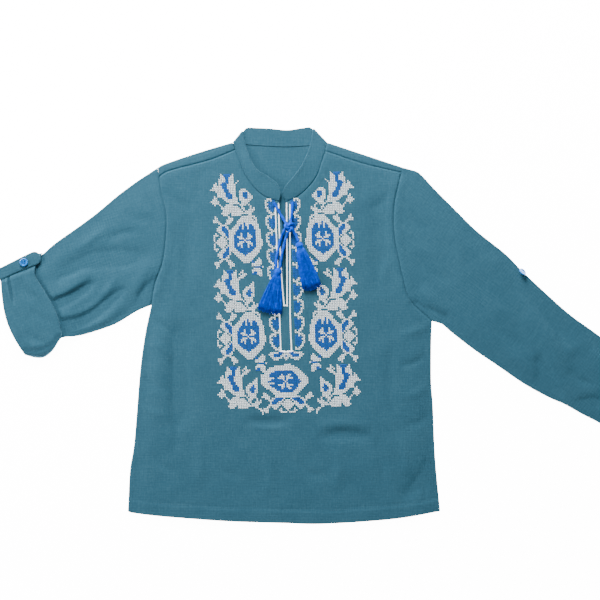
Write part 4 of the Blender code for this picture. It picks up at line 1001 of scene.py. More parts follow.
def sleeve_patch(top_line, low_line, arm_points, shoulder_point, rows, columns):
    """A sleeve's flat middle: its folds moved in by their radius, from the armhole seam to the end.

    The first rows run straight from the armhole, so that they never cross where its curve is tight.
    """
    arm = np.vstack([smooth_line([shoulder_point, arm_points[0]], 6)[:-1], smooth_line(arm_points)])
    arm[0] += FOLD * unit(arm[1] - arm[0])
    arm[-1] += FOLD * unit(arm[-2] - arm[-1])
    top, low = smooth_line(top_line, rows), smooth_line(low_line, rows)
    way = 1 if shoulder_point[0] > 0 else -1
    top = top + FOLD * unit(np.gradient(top, axis=0))[:, ::-1] * [way, -way]
    low = low - FOLD * unit(np.gradient(low, axis=0))[:, ::-1] * [way, -way]
    top[0], low[0] = arm[0], arm[-1]
    mouth = np.vstack([top[-1], low[-1]])
    grid = coons(top, low, along(arm, columns), along(mouth, columns), rows, columns)
    share = rows[:ARM_ROWS] / rows[ARM_ROWS]
    grid[:ARM_ROWS] = grid[0] + (grid[ARM_ROWS] - grid[0]) * share[:, None, None]
    return grid


# %% Left sleeve, rolled up
CUFF_AXIS = np.array([-0.958, -0.287])
CUFF_TURNS = 2
TURN_PITCH = CLOTH + GAP
CUFF_RISE = CUFF_TURNS * TURN_PITCH
CUFF_RADIUS = FOLD + CUFF_RISE
RAMP_START, RAMP_END = 268 * MM, 296 * MM
PRESS_REACH = 7 * MM
LEFT_LENGTH, LEFT_WIDTH = 230 * MM, 160 * MM
LEFT_GRAIN = math.atan2(-CUFF_AXIS[1], -CUFF_AXIS[0])
left_rows, left_across = edge_shares(96, LEFT_LENGTH), edge_shares(66, LEFT_WIDTH)
left_patch = sleeve_patch(LEFT_SLEEVE_TOP, LEFT_SLEEVE_LOW, LEFT_ARMHOLE, LEFT_SHOULDER[-1], left_rows,
                          left_across)
reach = (left_patch @ CUFF_AXIS).max(axis=1, keepdims=True)
ramp = smoothstep((reach - RAMP_START) / (RAMP_END - RAMP_START)) * np.ones(left_patch.shape[:2])
cuff_side = np.array([CUFF_AXIS[1], -CUFF_AXIS[0]])
mouth_line = smooth_line(CUFF_MOUTH, 40)
mouth_line = mouth_line[np.argsort(mouth_line @ cuff_side)]
mouth_reach = np.interp(left_patch @ cuff_side, mouth_line @ cuff_side, mouth_line @ CUFF_AXIS)
pressed = smoothstep((left_patch @ CUFF_AXIS - mouth_reach) / PRESS_REACH + 1)
relief = top_of_cloth(left_patch.reshape(-1, 2)).reshape(ramp.shape) - 2 * FOLD
left_base = CUFF_RISE * ramp
left_top = left_base + 2 * FOLD + relief * (1 - pressed)
left_tube = flat_tube(left_patch, FOLD, left_base, left_top)
left_sleeve = cloth("sleeve_left_linen", [(left_tube, True, True)], linen, grain=LEFT_GRAIN)
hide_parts("sleeve_left")

# %% Right sleeve, laid out
RIGHT_HEM = 20 * MM
RIGHT_LENGTH, RIGHT_WIDTH = 490 * MM, 150 * MM
SLEEVE_HEM_STEP, SLEEVE_STEP_PLACE, SLEEVE_STEP_WIDTH = 0.4 * MM, 1 * MM, 1.6 * MM
SLEEVE_HEM_DIP = 0.3 * MM
RIGHT_GRAIN = math.radians(-35.7)
right_rows, right_across = edge_shares(190, RIGHT_LENGTH), edge_shares(66, RIGHT_WIDTH)
right_patch = sleeve_patch(RIGHT_SLEEVE_TOP, RIGHT_SLEEVE_LOW, RIGHT_ARMHOLE, RIGHT_SHOULDER[-1], right_rows,
                           right_across)
right_run = length_of(smooth_line(RIGHT_SLEEVE_TOP))
over_hem = (1 - right_rows[:, None]) * right_run - RIGHT_HEM
right_hem = SLEEVE_HEM_STEP * (1 - smoothstep((over_hem + SLEEVE_STEP_PLACE) / SLEEVE_STEP_WIDTH))
right_hem = right_hem - SLEEVE_HEM_DIP * np.exp(-(over_hem / HEM_DIP_WIDTH)**2)
right_top = top_of_cloth(right_patch.reshape(-1, 2)).reshape(right_patch.shape[:2]) + right_hem
right_tube = flat_tube(right_patch, FOLD, np.zeros(right_top.shape), right_top)
right_sleeve = cloth("sleeve_right_linen", [(right_tube, True, True)], linen, grain=RIGHT_GRAIN)
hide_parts("sleeve_right")

# %% [markdown]
# ### The rolled cuff
#
# The left sleeve is turned up twice round itself, so the cuff is thicker than the arm and its mouth is
# a soft fold, not a cut edge. Each turn is a pressed tube round the last one; its mouth rolls over. The
# outer turn is slack: it puffs up beside the tab, its outer end bulges, and its lower fold is drawn out
# by a few millimetres, where the turns below it peep out on the real sleeve.

# %% Cuff turns, kept flat under the tab
CUFF_ROLL = 1.0 * MM
CUFF_BULGE = 9.5 * MM
CUFF_PUFF = 2.0 * MM
CUFF_LIP = 5.0 * MM
CUFF_EDGE = 9 * MM
CUFF_LENGTH, CUFF_WIDTH = 58 * MM, 130 * MM
BULGE_LEAN = 1.15
LEAST_PUFF = -0.05 * MM
MOUTH_SHARE = 0.6
TURNS_SHIFT, TURNS_LENGTH = 0.06, 0.89
TAB_CLEAR, TAB_EASE = 9.5 * MM, 5 * MM
# The tab's tip and the way it points are set here, because the cuff stays flat beneath it.
TAB_TIP = np.array([-339.5, 96.5]) * MM
TAB_WAY = np.array([0.93, 0.3676])
tab_across = np.array([-TAB_WAY[1], TAB_WAY[0]])
CUFF_CREASES = [
    # name, x1, y1, x2, y2, x3, y3, width, height
    ("pleat at the outer end", -387, 88, -382.5, 58, -376, 28, 1.6, -3.0),
    ("lip of the pleat", -390, 84, -386, 60, -380, 32, 1.6, 1.2),
    ("fold from the tab", -370, 66, -362, 48, -350, 34, 6, -0.8),
    ("ridge beside it", -360, 68, -350, 50, -338, 40, 5, 0.7),
    ("pull to the mouth", -352, 20, -336, 8, -322, 2, 5, -0.6),
    ("outer slack", -388, 14, -374, 0, -368, -18, 6, 0.6),
    ("low pucker", -360, -8, -346, -20, -330, -24, 5, -0.6),
    ("low ridge", -366, -20, -352, -28, -336, -30, 4, 0.5),
]


def cuff_patch(rows, columns):
    """The cuff's flat middle between its folds, from its mouth to its outer end, which bulges as a sine."""
    top, low = smooth_line(CUFF_TOP, rows)[::-1], smooth_line(CUFF_LOW, rows)[::-1]
    top = top + CUFF_RADIUS * unit(np.gradient(top, axis=0))[:, ::-1] * [-1, 1]
    low = low - CUFF_RADIUS * unit(np.gradient(low, axis=0))[:, ::-1] * [-1, 1]
    mouth = smooth_line(CUFF_MOUTH)
    from_ends = np.linalg.norm(mouth[:, None] - mouth[[0, -1]], axis=2).min(axis=1)
    mouth = along(np.vstack([top[0], mouth[from_ends > 1.2 * CUFF_RADIUS], low[0]]), columns)
    outer = along(np.vstack([top[-1], low[-1]]), columns)
    down = np.linalg.norm(outer - outer[0], axis=1) / np.linalg.norm(outer[-1] - outer[0])
    outer = outer + CUFF_AXIS * (CUFF_BULGE * np.sin(math.pi * down**BULGE_LEAN))[:, None]
    return coons(top, low, mouth, outer, rows, columns)


cuff_rows, cuff_across = edge_shares(90, CUFF_LENGTH), edge_shares(60, CUFF_WIDTH)
for turn_number in range(1, CUFF_TURNS + 1):
    radius = CUFF_RADIUS - TURN_PITCH * (CUFF_TURNS - turn_number)
    outermost = turn_number == CUFF_TURNS
    rows = 1 - cuff_rows if outermost else 1 - (TURNS_SHIFT + TURNS_LENGTH * cuff_rows)
    patch = cuff_patch(rows[::-1], cuff_across)
    spots = patch.reshape(-1, 2)
    below_tab = (TAB_TIP - spots) @ tab_across
    shaped = CUFF_PUFF + sum(crease(spots, row) for row in CUFF_CREASES) + linen_waves(spots)
    shaped = np.maximum(shaped * smoothstep((below_tab - TAB_CLEAR) / TAB_EASE), LEAST_PUFF) * outermost
    to_fold = np.minimum(*(line_distance(spots, line)[0] for line in (patch[:, 0], patch[:, -1])))
    shaped = (shaped * smoothstep(to_fold / CUFF_EDGE)).reshape(patch.shape[:2])
    to_mouth = np.linalg.norm(patch - patch[:1], axis=2)
    roll = CUFF_ROLL - np.sqrt(CUFF_ROLL**2 - np.clip(CUFF_ROLL - to_mouth, 0, CUFF_ROLL)**2)
    base = np.full(patch.shape[:2], CUFF_RADIUS - radius)
    lip = CUFF_LIP * np.sin(math.pi * rows[::-1])**0.8 * outermost
    low_face, high_face = base + roll * MOUTH_SHARE, base + 2 * radius + shaped - roll
    turn_tube = flat_tube(patch, radius, low_face, high_face, lip)
    made = cloth(f"cuff_turn_{turn_number}", [(turn_tube, True, True)], linen, grain=LEFT_GRAIN)
    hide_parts(f"sleeve_left_turn_{turn_number}")

# %% [markdown]
# ### Stand collar
#
# The collar is one band round the neck, folded flat on both sides: its back lies on the table behind
# the neck, its two ends stand up over the front and meet at the slit. The band is a row of stations
# round the neck, each a straight line from the sewn edge to the free edge.

# %% Collar: its sewn edge and its free edge in millimetres, columns seam x, seam y, free x, free y
COLLAR_CLOTH = 1.6 * MM
COLLAR_FOLD = COLLAR_CLOTH + GAP / 2
COLLAR_RISE = 2.2 * MM
COLLAR_ROLL = 0.5 * MM
COLLAR_WALL = 1.4 * MM
COLLAR_WIDTH = 24 * MM
COLLAR_WOBBLE = 0.25 * MM
COLLAR_SETTLE = 1.6
COLLAR_LEFT = [(-70.6, 254.4, -57.6, 270.4), (-68, 245, -55, 257), (-61, 227, -47, 233),
               (-53, 208, -37, 217), (-39.5, 190.5, -23, 208.5), (-25, 179.5, -9, 197),
               (-6.5, 173, -4.2, 184)]
COLLAR_RIGHT = [(59.2, 254.3, 40.7, 273.8), (57, 243.5, 38, 257), (52, 227, 32, 239),
                (45, 208, 23, 221), (31, 190.5, 11, 205), (18, 180, 2, 194.5), (2.5, 172.5, -2.3, 185)]
COLLAR_BACK = [(-70.6, 254.4, -57.6, 270.4), (-60, 253.3, -51.5, 276), (-45, 252, -37, 275.8),
               (-22, 250.5, -20, 275), (3, 249.5, 4, 272.8), (25, 250.5, 22, 275.2), (36, 251.4, 29.8, 276.3),
               (44, 252.3, 35.6, 276.9), (52.4, 253.4, 38.0, 275.6), (59.2, 254.3, 40.7, 273.8)]
COLLAR_STATIONS = 90
collar_across = edge_shares(14, COLLAR_WIDTH)


def collar_front(table):
    """One front half from the shoulder fold to the slit: lines that rise from the seam to the free edge."""
    head = smooth_line(table[:2], 12)
    band = np.vstack([head, smooth_line(table[1:], COLLAR_STATIONS)[1:]])
    seam, free = band[:, :2], band[:, 2:]
    part = smoothstep(np.linspace(0, 1, len(band)) * COLLAR_SETTLE)[:, None]
    under = np.maximum(CLOTH + GAP + lift(seam, small=False), COLLAR_CLOTH + GAP)[:, None]
    base = (1 - part) * (COLLAR_CLOTH + GAP) + part * under
    flat = seam[:, None] + (free - seam)[:, None] * collar_across[:, None]
    height = base + part * COLLAR_RISE * collar_across + COLLAR_CLOTH
    wobble = COLLAR_WOBBLE * np.sin(np.linspace(0, 9, len(band)))[:, None] * np.sin(math.pi * collar_across)
    run = COLLAR_WIDTH * np.minimum(collar_across, 1 - collar_across)
    roll = COLLAR_ROLL - np.sqrt(COLLAR_ROLL**2 - np.clip(COLLAR_ROLL - run, 0, COLLAR_ROLL)**2)
    return np.concatenate([flat, (height + wobble * part - roll)[..., None]], axis=2)


def collar_fold(band, side):
    """The half circle at the shoulder where the band turns from the front to the back."""
    seam, free = band[:2] * MM, band[2:] * MM
    way = unit(free - seam)
    out = np.array([-way[1], way[0]]) * side
    line = seam + (free - seam) * collar_across[:, None]
    flat = line[None] + out * (COLLAR_FOLD * np.cos(FOLD_STEPS))[:, None, None]
    high = np.broadcast_to(COLLAR_FOLD * (1 + np.sin(FOLD_STEPS))[:, None], flat.shape[:2])
    return np.concatenate([flat, high[..., None]], axis=2)


behind = smooth_line(COLLAR_BACK, COLLAR_STATIONS)
behind = behind[:, None, :2] + (behind[:, 2:] - behind[:, :2])[:, None] * collar_across[:, None]
behind = np.concatenate([behind, np.zeros((*behind.shape[:2], 1))], axis=2)
left_front, right_front = collar_front(COLLAR_LEFT), collar_front(COLLAR_RIGHT)
band = np.vstack([left_front[::-1], collar_fold(np.array(COLLAR_LEFT[0]), 1), behind,
                  collar_fold(np.array(COLLAR_RIGHT[0]), -1)[::-1], right_front])
collar = cloth("collar_linen", [(band, False, False)], linen, thickness=COLLAR_WALL)
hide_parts("collar")

# %% [markdown]
# ### Roll-up tab
#
# A narrow strap holds the rolled cuff: it comes round the edge of the cuff and is buttoned on top. It is
# a flat band with a round tip, turned down a little at its edges like any sewn and pressed strap. Away
# from its tip it narrows a little and sags sideways, because it is soft and hangs in the cuff's edge.

# %% Tab
TAB_WIDTH = 19 * MM
TAB_REACH = 64 * MM
TAB_TOP = 2 * CUFF_RADIUS + GAP + CLOTH
TAB_BEND = (2 * GAP + CUFF_RISE) / 2
TAB_SAG = 3.2 * MM
TAB_TAPER, TAPER_REACH = 0.16, 50 * MM
TAB_EDGE, TAB_EDGE_WIDTH = 0.5 * MM, 0.7 * MM
TAB_PAD, TAB_PAD_LENGTH = 0.25 * MM, 5.2 * MM
TAB_ROWS = 39
half = TAB_WIDTH / 2
tip_turn = np.radians(np.linspace(0, 84, 12))
back_from_tip = np.r_[np.linspace(TAB_REACH, half, TAB_ROWS + 1)[:-1], half * (1 - np.sin(tip_turn))]
half_width = np.r_[np.full(TAB_ROWS, half), half * np.cos(tip_turn)]
spread = np.array([-1, -0.97, -0.9, -0.8, -0.6, -0.3, 0, 0.3, 0.6, 0.8, 0.9, 0.97, 1])
half_width = half_width * (1 - TAB_TAPER * smoothstep(back_from_tip / TAPER_REACH))
tab_sag = TAB_SAG * (back_from_tip / TAB_REACH)**2
tab_side = half_width[:, None] * spread - tab_sag[:, None]
tab_flat = TAB_TIP - TAB_WAY * back_from_tip[:, None, None] + tab_across * tab_side[..., None]
inner = np.minimum(half_width[:, None] * (1 - np.abs(spread)), back_from_tip[:, None])
tab_roll = TAB_EDGE * np.exp(-(inner / TAB_EDGE_WIDTH)**2)
tab_pad = TAB_PAD * np.sin(back_from_tip / TAB_PAD_LENGTH)[:, None] * np.cos(spread * math.pi / 2)
tab_high = TAB_TOP - tab_roll + tab_pad
bend_turn = np.radians(np.linspace(-50, 70, 9))
bend_flat = (TAB_TIP - TAB_WAY * TAB_REACH)[None, None] + tab_across * tab_side[0][:, None]
bend_flat = bend_flat - TAB_WAY * ((TAB_BEND + CLOTH) * np.cos(bend_turn))[:, None, None]
bend_high = TAB_TOP - CLOTH - TAB_BEND + (TAB_BEND + CLOTH) * np.sin(bend_turn)
bend_high = np.broadcast_to(bend_high[:, None], bend_flat.shape[:2])
tab_grid = np.vstack([np.concatenate([bend_flat, bend_high[..., None]], axis=2),
                      np.concatenate([tab_flat, tab_high[..., None]], axis=2)])
tab = cloth("tab_linen", [(tab_grid, False, True)], linen, grain=LEFT_GRAIN)
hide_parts("roll_tab_left")

# %% [markdown]
# ## Threads on the cloth
#
# Every stitch is a short thread that leaves the cloth, arches over it and goes back in. One function
# makes any number of them from their two ends: a three-sided tube of four rings, raised in the middle
# by a sine, laid on the relief. A cross-stitch is two such threads over a square of the cloth.


# %% Stitches as arched threads
RING_TURNS = np.array([math.pi / 2, 7 * math.pi / 6, 11 * math.pi / 6])
STITCH_RINGS = 4
STITCH_TAPER = 0.28
STITCH_SINK = 0.25
STITCH_FLATNESS = 0.8


def arched_threads(starts, ends, radius, arch, height_of=front_height, base=0.0):
    """Threads between pairs of flat points: ring k lies at share k, at height + base + arch sin(pi share)."""
    share = np.linspace(0, 1, STITCH_RINGS)
    flat = starts[:, None] + (ends - starts)[:, None] * share[:, None]
    high = height_of(flat.reshape(-1, 2)).reshape(len(starts), STITCH_RINGS)
    high = high + base + arch * np.sin(math.pi * share) - STITCH_SINK * radius
    way = unit(ends - starts)
    side = np.column_stack([-way[:, 1], way[:, 0], np.zeros(len(way))])
    path = np.concatenate([flat, high[..., None]], axis=2)
    thick = radius * (1 - STITCH_TAPER + STITCH_TAPER * np.sin(math.pi * share))
    ring = (path[:, :, None] + side[:, None, None] * (thick[:, None] * np.cos(RING_TURNS))[None, ..., None]
            + np.array([0, 0, STITCH_FLATNESS]) * (thick[:, None] * np.sin(RING_TURNS))[None, ..., None])
    count = 3 * STITCH_RINGS
    first = (np.arange(len(starts)) * count)[:, None, None]
    quads = (grid_quads(STITCH_RINGS, 3, True, 0)[:, ::-1][None] + first).reshape(-1, 4)
    tris = (np.array([[0, 1, 2], [count - 1, count - 2, count - 3]])[None] + first).reshape(-1, 3)
    return ring.reshape(-1, 3), quads, tris


def thread_piece(name, look, *batches):
    """One object from several batches of threads."""
    points, quads, tris, start = [], [], [], 0
    for batch in batches:
        points.append(batch[0])
        quads.append(batch[1] + start)
        tris.append(batch[2] + start)
        start += len(batch[0])
    made = mesh_object(name, np.vstack(points), np.vstack(quads), look, tris=np.vstack(tris))
    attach(made, "root")
    print(name, "triangles:", 2 * sum(map(len, quads)) + sum(map(len, tris)))


print("rings in each stitch:", STITCH_RINGS)

# %% [markdown]
# ## The embroidery charts
#
# Traditional cross-stitch is worked from a chart, a square for each stitch. The charts below were drawn
# after the look of the real band: W is white, B is blue and a dot is bare cloth. One half of the
# shirt mirrors the other, and the medallion, its leaves and the sprigs repeat after 57 rows. Turned a
# quarter, the medallion and its leaves also close the band at the bottom.

# %% Charts
MEDALLION = """
.......WWWWWW......
......WWWWWWW......
.....WWWWWWWWW.....
....WWWWWWWWWWW....
....WWWWBWWWWWWW...
...WWWBWBWWBBWWWW..
..WWWBBWBBWBBBWWW..
.WWWWBBWBBWBBBWWW..
WWWWBBBBBBBBBBBWWW.
WWWBBBBBBBBBBBBWWW.
WWWBBBWBBBWBBBBWWW.
WWBBBBWBBBWWBBBWWW.
WWBBWWWBBBWWWBBWWW.
WWBBBWWWBWWWBBBWWW.
WWBBBBBBWBBBBBBWWWW
WWBBBWWWBWWWBBBWWWW
WWBBWWWBBBWWWBBWWWW
WWBBWBWBBBWBWBBWWWW
WWBBBBWBBBWBBBBWWW.
WWWBBBBBBBBBBBWWWW.
WWWWBBBBBBBBBWWWW..
.WWWWBBBBBBBWWWWW..
..WWWWWBBBWWWWWW...
...WWWWWBWWWWWW....
....WWWWWWWWWW.....
.....WWWWWWWW......
......WWWWWW.......
.......WWWW........
"""
SIDE_LEAVES = """
.W.......W..
.WW......WWW
WWW.....WWWW
WWWW....WWW.
...WW..WWW..
....WWWW....
...WWBBWW...
..WWWBBBW...
..WWWBBBBW..
...WWWBBBW..
.W..WWWBBW..
WWW..WWBBW..
W...WW.WBW..
W..WWWW.WW..
W.WWWWWW.W..
.WWWWWWW.W..
W.WWWWWW.W..
W..WWWW.WW..
W...WW.WBW..
WWW..WWBBW..
.W..WWWBBW..
...WWWBBBW..
..WWWBBBBW..
..WWWBBBW...
...WWBBWW...
....WWWW....
...WW..WWW..
WWWW....WWW.
WWW.....WWWW
.WW......WWW
.W.......W..
"""
TULIP = """
......W.BBBB.W..............
......WWBBBBWW..............
......WWWBBWWW..............
.....WWWWBBWWW..............
.....WWWWBBWWW..W...........
...W.WWBBBBWWW.W............
..WW.WBBBBWWWWW.............
..WWWWWBBBWWWWW.............
.WWWWWWBBBWWWWW.............
WWWWWWWWBBBWWWW.............
...WWWWWBBBWWWW.............
....WWWWWBBBWWW.............
....WWWWWBBBBWW.............
..W.WWWWWBBBBWW.............
..WW...WWWBBBWWW............
.WWW....WWWWWWWW............
WWWWW....WWWWWWW............
.WWWW......WWWWWW...........
..W..W...WWWW....W....W.....
......W.WWWWWWWW..W....W....
......WWWWWWWWWWW.WW...W.W..
.......WWWWWWWWWWW.W..WWWW..
.......WWWWWWWWWWWW.WWWWW...
......WWWWW.WWWWWWWWWWWW....
.......WWW..WWWWWW....WW....
........................WW..
.........................WW.
..........................W.
..........................W.
"""
BUD = """
.WWW....
WWWWW...
WWBBBW..
WWBBBWW.
WWBBBWWW
WWWBBWWW
WWWWWWW.
.WWWWW..
.WWWW...
.WWW....
.W......
"""
TALL_BUD = """
......W.
.....WW.
....WWW.
..WWWWW.
.WWWBWW.
WWWBBWW.
WW.BBBW.
WWBBBWW.
WWWBBWW.
.WWWWW..
.WWWWW..
..WWW...
..WW....
"""
BOW_TIE = """
....W..
B..WWW.
BBWWWW.
WWWWWW.
WWWWW..
..BBBBW
.WWWW..
WWWWWW.
WBBWWW.
BBBWWW.
....WW.
"""
TWIG = """
...W...
..WW...
.W.WWW.
..WWW..
.WWW...
WW.....
W......
"""
SCALLOP = """
.WWW..
WW.WBB
W.BBBB
WWBBBB
W.BBBB
WWBBBB
.W.BBB
.WWBB.
..WW.W
...WWW
"""
LOW_LEAF = """
......WWWW
.WWWWWBBBW
WWWBBBBBWW
.WWBBBBWW.
..WWWWWW..
...WWW....
"""
LOW_BUD = """
.WWW.
WWBWW
.WWW.
..W..
"""


def chart(text):
    """A chart as an array of letters, rows from the top."""
    return np.array([list(row) for row in text.split()])


print("charts:", chart(MEDALLION).shape, chart(SIDE_LEAVES).shape, chart(TULIP).shape)

# %% Place the charts on one sheet of squares
SHEET_LEFT, SHEET_TOP = -48, -44
sheet_squares = np.full((160, 100), ".")


def place(pattern, column, row):
    """Lay a chart on the sheet with its first square at this column and row; bare squares change nothing."""
    rows, columns = pattern.shape
    top, left = row - SHEET_TOP, column - SHEET_LEFT
    part = sheet_squares[top:top + rows, left:left + columns]
    part[pattern != "."] = pattern[pattern != "."]


def place_both(pattern, column, row, centre=0):
    """Lay a chart left of the centre column and its mirror image right of it."""
    place(pattern, column, row)
    place(pattern[:, ::-1], 2 * centre - column - pattern.shape[1] + 1, row)


# Columns count from the slit and rows from the middle of the upper medallions, both in squares.
REPEAT = 57
SCALLOP_REPEAT = 10
for row in (0, REPEAT):
    place_both(chart(SIDE_LEAVES), -41, row - 14)
    place_both(chart(MEDALLION), -31, row - 14)
    place_both(chart(BOW_TIE), -19, row + 11)
    place_both(chart(TWIG), -28, row + 18)
    place_both(chart(TALL_BUD), -25, row + 25)
place_both(chart(BUD), -25, -30)
for row in (0, REPEAT, 2 * REPEAT):
    place_both(chart(TULIP), -42, row - 39)
for row in range(-24, 60, SCALLOP_REPEAT):
    place_both(chart(SCALLOP), -10, row)
place(np.rot90(chart(SIDE_LEAVES)), -16, 91)
place(np.rot90(chart(MEDALLION)), -16, 74)
place_both(chart(LOW_LEAF), -11, 66, centre=-1)
place(chart(LOW_BUD), -3, 68)
squares = {letter: np.argwhere(sheet_squares == letter) for letter in "WB"}
print("white stitches:", len(squares["W"]), "blue stitches:", len(squares["B"]))

# %% [markdown]
# ### From chart to thread
#
# The linen was stretched a little askew, so the columns lean and the rows climb slightly. Each filled
# square becomes a cross: a thread from corner to corner, and a second one over it the other way.

# %% Cross-stitches
PITCH = 2.363 * MM
CHART_ORIGIN = np.array([-0.1, 119.6]) * MM
COLUMN_LEAN = 0.035
ROW_CLIMB = 0.0213
STITCH_REACH = 0.39
WHITE_RADIUS = 0.27 * MM
BLUE_RADIUS = 0.34 * MM
STITCH_ARCH = 0.34 * MM
SECOND_THREAD = 0.30 * MM
HAND_WANDER = 0.035


def on_cloth(column, row):
    """Flat place of a chart position: columns step by the pitch and lean with y, rows step down and climb."""
    down = row * PITCH
    across = column * PITCH + COLUMN_LEAN * down
    return CHART_ORIGIN + np.column_stack([across, -down + ROW_CLIMB * across])


def crosses(cells, radius):
    """Both threads of the cross on each filled square, the second over the first."""
    row, column = (cells + [SHEET_TOP, SHEET_LEFT]).T.astype(float)
    jitter = rng.normal(0, HAND_WANDER, (4, len(cells)))
    left, right = column - STITCH_REACH, column + STITCH_REACH
    upper, lower = row - STITCH_REACH, row + STITCH_REACH
    first = arched_threads(on_cloth(left + jitter[0], lower + jitter[1]), on_cloth(right, upper), radius,
                           STITCH_ARCH)
    second = arched_threads(on_cloth(right + jitter[2], lower + jitter[3]), on_cloth(left, upper), radius,
                            STITCH_ARCH, base=SECOND_THREAD)
    return first, second


thread_piece("white_cross_stitch", white_thread, *crosses(squares["W"], WHITE_RADIUS))
thread_piece("blue_cross_stitch", blue_thread, *crosses(squares["B"], BLUE_RADIUS))

# %% [markdown]
# ### White lines beside the slit
#
# Four columns of satin stitch frame the slit and its placket: close threads laid across the line. Two
# run right along the edges of the slit and join in a small bar below it, two stand a finger's width
# outside, down to a bar that closes the placket.

# %% Satin lines in millimetres, columns x and y
SATIN_LINES = [
    [(-12.0, 164.4), (-10.0, 110.0), (-4.3, -36.4)],
    [(-7.6, 170.0), (-6.2, 124.6), (-2.9, 63.0), (0.2, 26.5)],
    [(3.6, 170.8), (4.0, 120.0), (4.4, 26.5)],
    [(8.3, 168.7), (8.6, 22.4), (10.6, -36.4)],
    [(-0.3, 27.4), (4.9, 27.4)],
    [(-5.0, -36.6), (3.0, -37.4), (11.6, -36.9)],
]
SATIN_WIDTH = 1.7 * MM
SATIN_PITCH = 0.52 * MM
SATIN_SLANT = 0.2
SATIN_RADIUS = 0.30 * MM
SATIN_ARCH = 0.42 * MM


def satin(points, width=SATIN_WIDTH, height_of=front_height):
    """Threads across a line at each pitch, a half width to either side, leaning a little along it."""
    line = smooth_line(points, int(length_of(smooth_line(points)) / SATIN_PITCH))
    way = unit(np.gradient(line, axis=0))
    reach = np.column_stack([-way[:, 1], way[:, 0]]) * width / 2 + SATIN_SLANT * way * SATIN_PITCH
    return arched_threads(line - reach, line + reach, SATIN_RADIUS, SATIN_ARCH, height_of)


thread_piece("white_satin_lines", white_thread, *(satin(row) for row in SATIN_LINES))

# %% [markdown]
# ### Seams and hems
#
# The hem, the sleeve hem, the collar, the vents and the tab are topstitched in a matching thread, a
# stitch every three millimetres. They barely show from afar, but they tell how the shirt is sewn.

# %% Topstitching
STITCH_PITCH = 3.1 * MM
STITCH_SHARE = 0.62
TOP_RADIUS = 0.24 * MM
TOP_ARCH = 0.22 * MM
VENTS = [[(-206.5, -192), (-209, -214), (-210.5, -236)], [(204.5, -190), (207.5, -212), (210.5, -236)]]
SHOULDER_STITCHES = [(LEFT_SHOULDER_SEAM, (1.0, -2.6)), (RIGHT_SHOULDER_SEAM, (-1.0, -2.6))]


def dashes(line):
    """Running stitches along a line: starts and ends, one stitch to each pitch, covering a share of it."""
    count = max(2, int(length_of(line) / STITCH_PITCH))
    first = np.arange(count) / count
    return along(line, first), along(line, first + STITCH_SHARE / count)


def sewn(line):
    """Topstitches along a flat line, laid on the front."""
    return arched_threads(*dashes(line), TOP_RADIUS, TOP_ARCH)


hem_stitches = smooth_line(HEM, 120)[4:-4] + [0, HEM_DEPTH]
vents = [smooth_line(points) for points in VENTS]
seam_side = [smooth_line(points) + np.array(shift) * MM for points, shift in SHOULDER_STITCHES]
thread_piece("body_topstitch", teal_thread,
             *(sewn(line) for line in [hem_stitches, *vents, *seam_side]))


# %% Stitches on the neck, the collar, the tab and the sleeve
def line_stitches(line):
    """Topstitches on a line of points in space, read off a grid already worked out."""
    starts, ends = dashes(line)
    batch = arched_threads(starts[:, :2], ends[:, :2], TOP_RADIUS, TOP_ARCH, lambda p: np.zeros(len(p)))
    high = starts[:, None, 2] + (ends - starts)[:, None, 2] * np.linspace(0, 1, STITCH_RINGS)
    points = batch[0].reshape(len(starts), STITCH_RINGS, 3, 3)
    points[..., 2] += high[..., None]
    return points.reshape(-1, 3), batch[1], batch[2]


# The back's neck edge is overcast with a thread darker than the linen, which shows inside the collar: the
# seam is real, its dark tone is painted shade, the shadow line under the collar's edge.
OVERCAST_SHADE_WIDTH = 1.1 * MM
OVERCAST_SHADE_HEIGHT = 1.0 * MM
thread_piece("neck_overlock_painted_shade", seam_thread_dark_as_shade,
             satin(BACK_NECK, OVERCAST_SHADE_WIDTH, lambda p: np.full(len(p), OVERCAST_SHADE_HEIGHT)))

# The collar is stitched along its free edge and along the neck, columns of its grid counted from each.
EDGE_LINE, SEAM_LINE = -5, 4
thread_piece("collar_topstitch", teal_thread,
             *(line_stitches(part[:, column]) for part in (left_front, right_front)
               for column in (EDGE_LINE, SEAM_LINE)))

# The tab is stitched up one side and down the other, on the part that lies flat.
TAB_LINE = 3
tab_flat_rows = tab_grid[len(bend_turn):]
tab_edge = np.vstack([tab_flat_rows[:, TAB_LINE], tab_flat_rows[::-1, -1 - TAB_LINE]])
thread_piece("tab_topstitch", teal_thread, line_stitches(tab_edge))

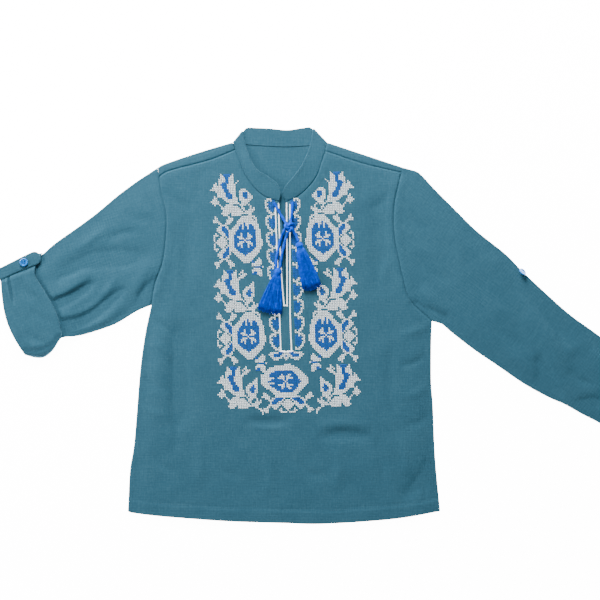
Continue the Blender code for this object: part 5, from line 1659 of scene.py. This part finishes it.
# The right sleeve's hem line runs from fold to fold across its upper layer.
hem_row = np.abs((1 - right_rows) * right_run - RIGHT_HEM).argmin()
thread_piece("sleeve_topstitch", teal_thread,
             line_stitches(right_tube[hem_row, 2:len(right_across) - 2]))

# %% [markdown]
# ## Floor and light
#
# The floor is so pale that it reads as white paper. The main lamp stands low beyond the collar, a little
# to the left, like a window: it rakes over the cloth, so each crease has a lit side and a shaded one. A
# weaker lamp at the left keeps the creases that run up the body from vanishing, and both are broad
# enough to leave no hard shadow.

# %% Floor and lamps
FLOOR_HALF = 3.0
FLOOR_DROP = 0.3 * MM
FLOOR_GLOW = 14.0
LAMP_SIZE = 0.9
LAMPS = [("window", (-0.35, 1.65, 0.9), 102), ("side", (-1.9, 0.35, 0.85), 42)]
SKY_GLOW = 0.35
floor_look, tree, add, shader = new_look("pale floor")
shader.inputs["Base Color"].default_value = (0.9, 0.9, 0.9, 1.0)
shader.inputs["Roughness"].default_value = 0.9
shader.inputs["Specular IOR Level"].default_value = 0.1
shader.inputs["Emission Color"].default_value = (1.0, 1.0, 1.0, 1.0)
shader.inputs["Emission Strength"].default_value = FLOOR_GLOW
ground = np.array([[-1, -1, 0], [1, -1, 0], [1, 1, 0], [-1, 1, 0]]) * FLOOR_HALF - [0, 0, FLOOR_DROP]
floor = mesh_object("floor", ground, np.array([[0, 1, 2, 3]]), floor_look)


def soft_light(name, place, power):
    """A square area lamp at a place, turned to face the middle of the shirt."""
    lamp = bpy.data.lights.new(name, "AREA")
    lamp.size = LAMP_SIZE
    lamp.energy = power
    made = bpy.data.objects.new(name, lamp)
    made.location = place
    made.rotation_euler = (-Vector(place)).to_track_quat("-Z", "Y").to_euler()
    bpy.context.scene.collection.objects.link(made)


for lamp_row in LAMPS:
    soft_light(*lamp_row)
world = bpy.data.worlds.new("studio")
world.use_nodes = True
sky = world.node_tree.nodes["Background"]
sky.inputs["Color"].default_value = (1.0, 1.0, 1.0, 1.0)
sky.inputs["Strength"].default_value = SKY_GLOW
bpy.context.scene.world = world
print("lamps:", [row[0] for row in LAMPS])
